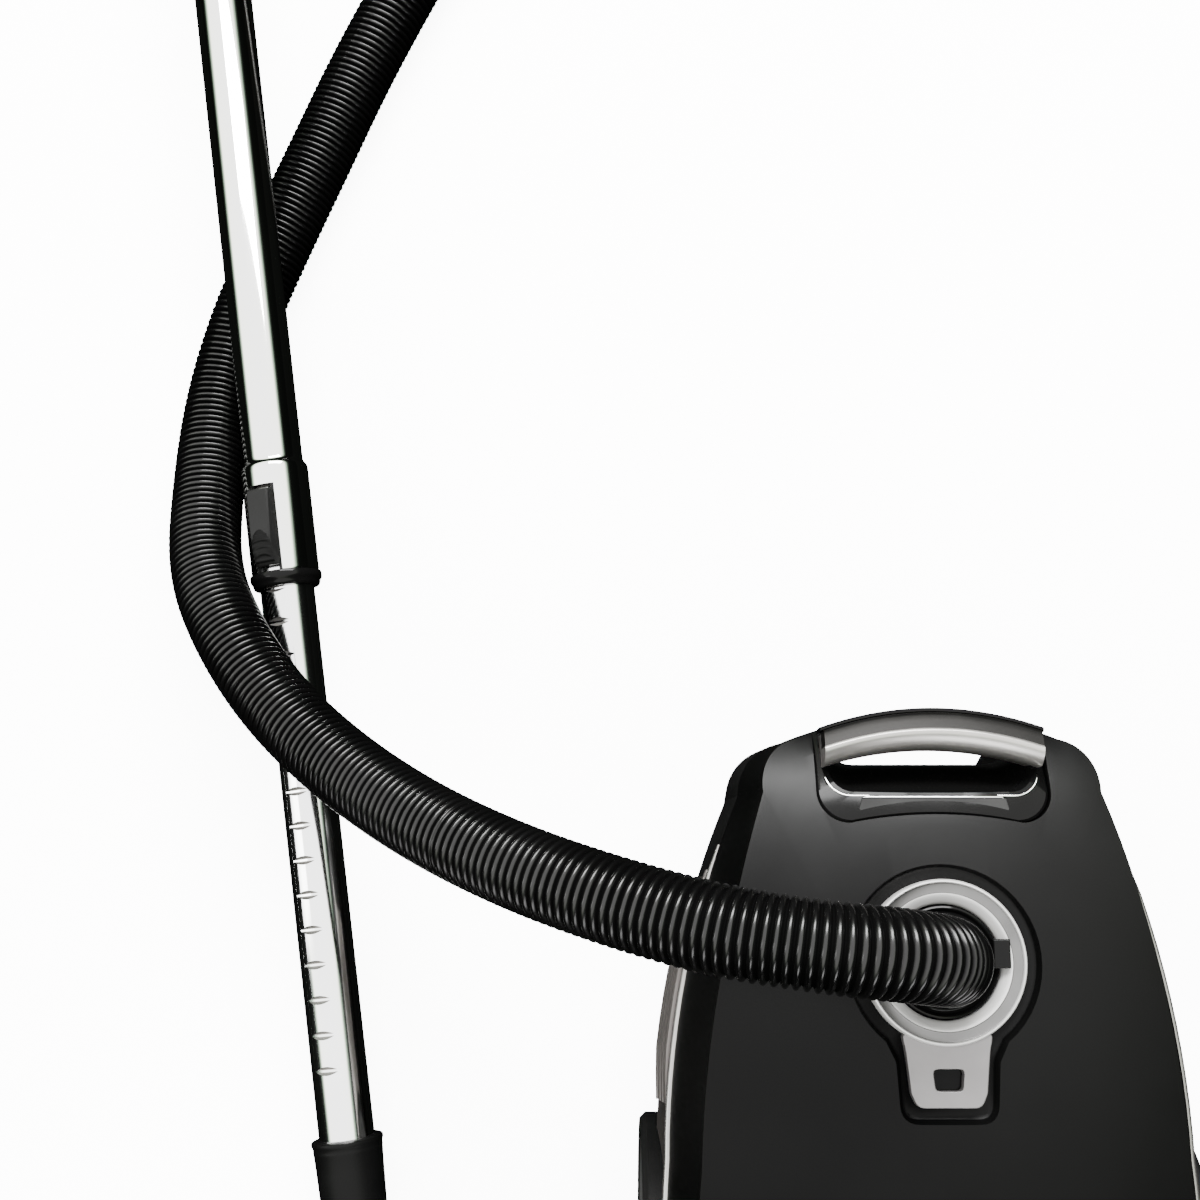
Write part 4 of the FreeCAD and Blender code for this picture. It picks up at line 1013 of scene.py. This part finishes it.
# loops of (radius, place along the wand)
OUTER_PROFILE = [(16.4, 852), (17.2, 852), (17.5, 851.2), (17.5, 400), (17.55, 398.4), (17.8, 397.4),
                 (18.3, 396.5), (18.9, 395.8), (19.4, 395.1), (19.7, 394.4), (19.9, 393.2), (20, 391),
                 (20, 331.2), (19.7, 330.2), (18.8, 330.1), (18.8, 385), (16.4, 396)]
INNER_PROFILE = [(13.4, 470), (15.6, 470), (16, 469.5), (16, 2), (16, -44.6), (15.6, -45), (13.4, -45)]
COLLAR_PROFILE = [(16.1, 321), (18.6, 321), (19.4, 321.7), (19.8, 323), (20.3, 324.6), (21, 325.6),
                  (21.2, 326.6), (21.2, 328.6), (20.8, 329.6), (19.9, 330.0), (16.1, 330.0)]
NOZZLE_CUFF_PROFILE = [(16.02, 0), (19.8, 0), (20.5, -0.4), (20.7, -1.2), (20.7, -2.2), (20.3, -3.0),
                       (20.0, -4.2), (19.95, -5.4), (20.1, -6.0), (19.9, -6.8), (19.4, -18), (18.7, -40),
                       (18.2, -61.4), (14, -61.4), (14, -45.2), (16.02, -45.2)]
# the corners of the slot that the telescope button slides in
SLOT_LOW, SLOT_HIGH = (-8.3, 325, 12), (8.3, 382, 40)
NOTCH_FIRST, NOTCH_PITCH, NOTCH_COUNT = 40, 20, 20
# (place along the wand from a notch's middle, height over the wand's axis)
NOTCH_SECTION = [(0.5, 14.1), (0.6, 14.5), (2.5, 16.0), (4.2, 17.4), (-4.2, 17.4), (-2.5, 16.0), (-0.6, 14.5),
                 (-0.5, 14.1)]
NOTCH_WALL = [(0.75, 14.45), (0.75, 14.62), (3.4, 16.72), (3.4, 16.55)]
NOTCH_REACH = 12


def make_outer_tube():
    thing = lathe("outer_tube_chrome", OUTER_PROFILE, WAND_AXIS, "wand", FINISHES["bright_chrome"], 128)
    carved(thing, [box_mesh(SLOT_LOW, SLOT_HIGH, WAND)])
    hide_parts("outer_tube")


def across_tube(section, along, side=1):
    """A section carried straight across the tube, at a place along it."""
    return skin([local(WAND, *[(x, along + side * y, z) for y, z in section])
                 for x in (-NOTCH_REACH, NOTCH_REACH)], True)


NOTCHES = [NOTCH_FIRST + NOTCH_PITCH * k for k in range(NOTCH_COUNT)]


def make_notch_walls():
    """Two thin grey walls in every notch, cut to the tube's round, with a dark gap between them."""
    vertices, faces = [], []
    for along in NOTCHES:
        for side in (-1, 1):
            corners, sides = across_tube(NOTCH_WALL, along, side)
            faces += [tuple(len(vertices) + corner for corner in face) for face in sides]
            vertices += corners
    walls = creased(piece("inner_tube_notches", vertices, faces, "inner_tube", FINISHES["silver_paint"]), 30)
    tube_round = rod_mesh((0, 0, -60), 15.93, 600, WAND_AXIS)
    carved(walls, [tube_round], "INTERSECT")


def make_inner_tube():
    """The inner tube with its row of notches; where one meets the round tube it leaves a lens."""
    thing = lathe("inner_tube_chrome", INNER_PROFILE, WAND_AXIS, "inner_tube", FINISHES["notch_chrome"], 128)
    carved(thing, [mesh_of(*across_tube(NOTCH_SECTION, along)) for along in NOTCHES])
    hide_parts("inner_tube")


# along the tube, half-width and height of the button's top, half-width of its foot
BUTTON = [(379.0, 5.8, 23.0, 7.2), (378.0, 6.6, 24.6, 7.8), (374, 6.7, 25.2, 7.9), (352, 6.2, 26.3, 8.0),
          (349, 6.0, 26.2, 8.0), (342, 5.7, 25.2, 8.0), (336, 5.3, 23.8, 8.0), (333.8, 4.8, 22.6, 7.8),
          (333.0, 4.4, 21.8, 7.5)]


# the button's ribbed pad: where it starts, its length, half-width, and where its round end begins
PAD_START, PAD_LENGTH, PAD_HALF, PAD_ROUND, PAD_ROUND_LENGTH = 354, 19.5, 6.3, 344, 10
# its ridges: height, distance apart, and the middle and first radius of their arcs
RIDGE_HEIGHT, RIDGE_PITCH, RIDGE_MIDDLE, RIDGE_FIRST = 0.34, 4.1, 331, 4.5
PAD_ROWS, PAD_ACROSS = 60, 16


def pad_point(row, k):
    """A point of the pad, with the ridges raised in arcs round its narrow end."""
    along = PAD_START - PAD_LENGTH * row / PAD_ROWS
    high = between([(a, z) for a, _, z, _ in reversed(BUTTON)], along)
    taper = max(0.0, (along - PAD_ROUND) / PAD_ROUND_LENGTH)
    half = PAD_HALF * math.sqrt(max(0.0, 1 - taper ** 2)) + 0.02
    x = half * (2 * k / PAD_ACROSS - 1)
    reach = math.hypot(x, along - RIDGE_MIDDLE)
    ridge = 0.0
    if reach > 6 and row > 8:
        ridge = RIDGE_HEIGHT * max(0.0, math.cos(2 * math.pi * (reach - RIDGE_FIRST) / RIDGE_PITCH))
    edge = 0.45 * (1 - (x / (half + 0.01)) ** 4)
    return x, along, high - 0.1 + edge + ridge * (1 - (x / 6.4) ** 6)


def make_button():
    rings = []
    for along, top, high, foot in BUTTON:
        section = [(-foot, 18.9), (-foot, 20.2), (-top - 0.4, high - 0.9), (-top + 0.5, high),
                   (0, high + 0.1), (top - 0.5, high), (top + 0.4, high - 0.9), (foot, 20.2), (foot, 18.9)]
        rings.append(local(WAND, *[(x, along, z) for x, z in section]))
    button = creased(piece("telescope_button_body", *skin(rings, True), "telescope_button",
                           FINISHES["button_grey"]), 24)
    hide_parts("telescope_button")
    grid = [pad_point(row, k) for row in range(PAD_ROWS + 1) for k in range(PAD_ACROSS + 1)]
    vertices = local(WAND, *grid)
    width = PAD_ACROSS + 1
    faces = [(row * width + k, row * width + k + 1, (row + 1) * width + k + 1, (row + 1) * width + k)
             for row in range(PAD_ROWS) for k in range(PAD_ACROSS)]
    pad = piece("telescope_button_pad", vertices, faces, "telescope_button", FINISHES["cuff_black"])


def make_wand():
    make_outer_tube()
    make_inner_tube()
    make_notch_walls()
    make_button()
    mouldings = {
        "collar_ring": (COLLAR_PROFILE, "wand", "gloss_black"),
        "nozzle_cuff": (NOZZLE_CUFF_PROFILE, "inner_tube", "cuff_black"),
    }
    for node, (profile, body, finish) in mouldings.items():
        thing = lathe(node + "_moulding", profile, WAND_AXIS, body, FINISHES[finish], 128)
        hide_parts(node)


# carried-over nodes that keep their edges, the width and segments of the others', and of one node's
UNSOFTENED = {"hose_near", "hose_far", "bag_holder", "dust_bag", "brush_strips", "motor_filter", "inlet_seal"}
NODE_EDGE = (0.7, 2)
NODE_EDGES = {"nozzle_head": (2.5, 3)}


def dress_nodes():
    for name, thing in NODES.items():
        finish = FINISHES[NODE_FINISH[name]]
        for slot in thing.material_slots:
            slot.material = finish
        if name not in UNSOFTENED:
            width, segments = NODE_EDGES.get(name, NODE_EDGE)
            softened(thing, width, 38, segments)


# ---------------------------------------------------------------- stage

FLOOR_HALF = 6.0
# how strongly the floor glows to the camera, and its colour to every other ray
FLOOR_GLOW = 9.0
FLOOR_DARK = (0.001, 0.0011, 0.001, 1)


def make_floor():
    """A floor that glows white to the camera's own rays and is almost black to every other ray."""
    corners = [(-FLOOR_HALF, -FLOOR_HALF, 0), (FLOOR_HALF, -FLOOR_HALF, 0), (FLOOR_HALF, FLOOR_HALF, 0),
               (-FLOOR_HALF, FLOOR_HALF, 0)]
    material = bpy.data.materials.new("floor")
    tree, shader = nodes_of(material)
    shader.inputs["Base Color"].default_value = (0.9, 0.9, 0.9, 1)
    shader.inputs["Roughness"].default_value = 0.9
    shader.inputs["Specular IOR Level"].default_value = 0.1
    shader.inputs["Emission Color"].default_value = (1, 1, 1, 1)
    shader.inputs["Emission Strength"].default_value = FLOOR_GLOW
    dull = tree.nodes.new("ShaderNodeBsdfDiffuse")
    dull.inputs["Color"].default_value = FLOOR_DARK
    path = tree.nodes.new("ShaderNodeLightPath")
    mix = tree.nodes.new("ShaderNodeMixShader")
    tree.links.new(path.outputs["Is Camera Ray"], mix.inputs["Fac"])
    tree.links.new(dull.outputs["BSDF"], mix.inputs[1])
    tree.links.new(shader.outputs["BSDF"], mix.inputs[2])
    tree.links.new(mix.outputs["Shader"], tree.nodes["Material Output"].inputs["Surface"])
    floor = piece("floor", corners, [(0, 1, 2, 3)], None, material, smooth=False)


# the brightest way of the studio dome, and its tone against the cosine from that way
DOME_WAY = Vector((-0.22, 0.12, 0.97)).normalized()
DOME_TONES = [(-1.0, (0.0006, 0.0006, 0.0006)), (0.34, (0.001, 0.0012, 0.001)), (0.42, (0.02, 0.027, 0.02)),
              (0.52, (0.22, 0.28, 0.22)), (0.57, (0.80, 0.86, 0.70)), (0.62, (1.0, 1.0, 0.95)),
              (1.0, (1, 1, 1))]
DOME_STRENGTH = 4.2


def make_world():
    """A dome bright overhead and black lower down, which the camera's own rays see as an even pale wall."""
    world = bpy.data.worlds.new("studio")
    bpy.context.scene.world = world
    world.use_nodes = True
    tree = world.node_tree
    back = tree.nodes["Background"]
    place = tree.nodes.new("ShaderNodeTexCoord")
    toward = tree.nodes.new("ShaderNodeVectorMath")
    toward.operation = "DOT_PRODUCT"
    toward.inputs[1].default_value = DOME_WAY
    share = tree.nodes.new("ShaderNodeMapRange")
    share.inputs["From Min"].default_value = -1.0
    ramp = tree.nodes.new("ShaderNodeValToRGB")
    stops = ramp.color_ramp.elements
    while len(stops) < len(DOME_TONES):
        stops.new(0.5)
    for stop, (cosine, tone) in zip(stops, DOME_TONES):
        stop.position = (cosine + 1) / 2
        stop.color = (*tone, 1)
    tree.links.new(place.outputs["Generated"], toward.inputs[0])
    tree.links.new(toward.outputs["Value"], share.inputs["Value"])
    tree.links.new(share.outputs["Result"], ramp.inputs["Fac"])
    tree.links.new(ramp.outputs["Color"], back.inputs["Color"])
    back.inputs["Strength"].default_value = DOME_STRENGTH
    wall = tree.nodes.new("ShaderNodeBackground")
    wall.inputs["Strength"].default_value = DOME_STRENGTH
    path = tree.nodes.new("ShaderNodeLightPath")
    mix = tree.nodes.new("ShaderNodeMixShader")
    tree.links.new(path.outputs["Is Camera Ray"], mix.inputs["Fac"])
    tree.links.new(back.outputs["Background"], mix.inputs[1])
    tree.links.new(wall.outputs["Background"], mix.inputs[2])
    tree.links.new(mix.outputs["Shader"], tree.nodes["World Output"].inputs["Surface"])


# each lamp: name, place, the point it faces, size in metres and power in watts
LAMPS = [
    ("key", (0.05, 1.2, 1.7), (0.0, -0.2, 0.1), (1.5, 0.7), 150),
    ("side", (-1.7, -0.5, 0.9), (0.0, -0.3, 0.0), (0.3, 1.2), 8),
    ("rear", (0.7, -2.6, 0.9), (0.1, -0.4, 0.1), (1.6, 0.8), 40),
]


def make_lights():
    for lamp in LAMPS:
        area_light(*lamp)


make_hose(FINISHES["hose_black"])
dress_nodes()
make_casing()
make_wand()
make_floor()
make_world()
make_lights()
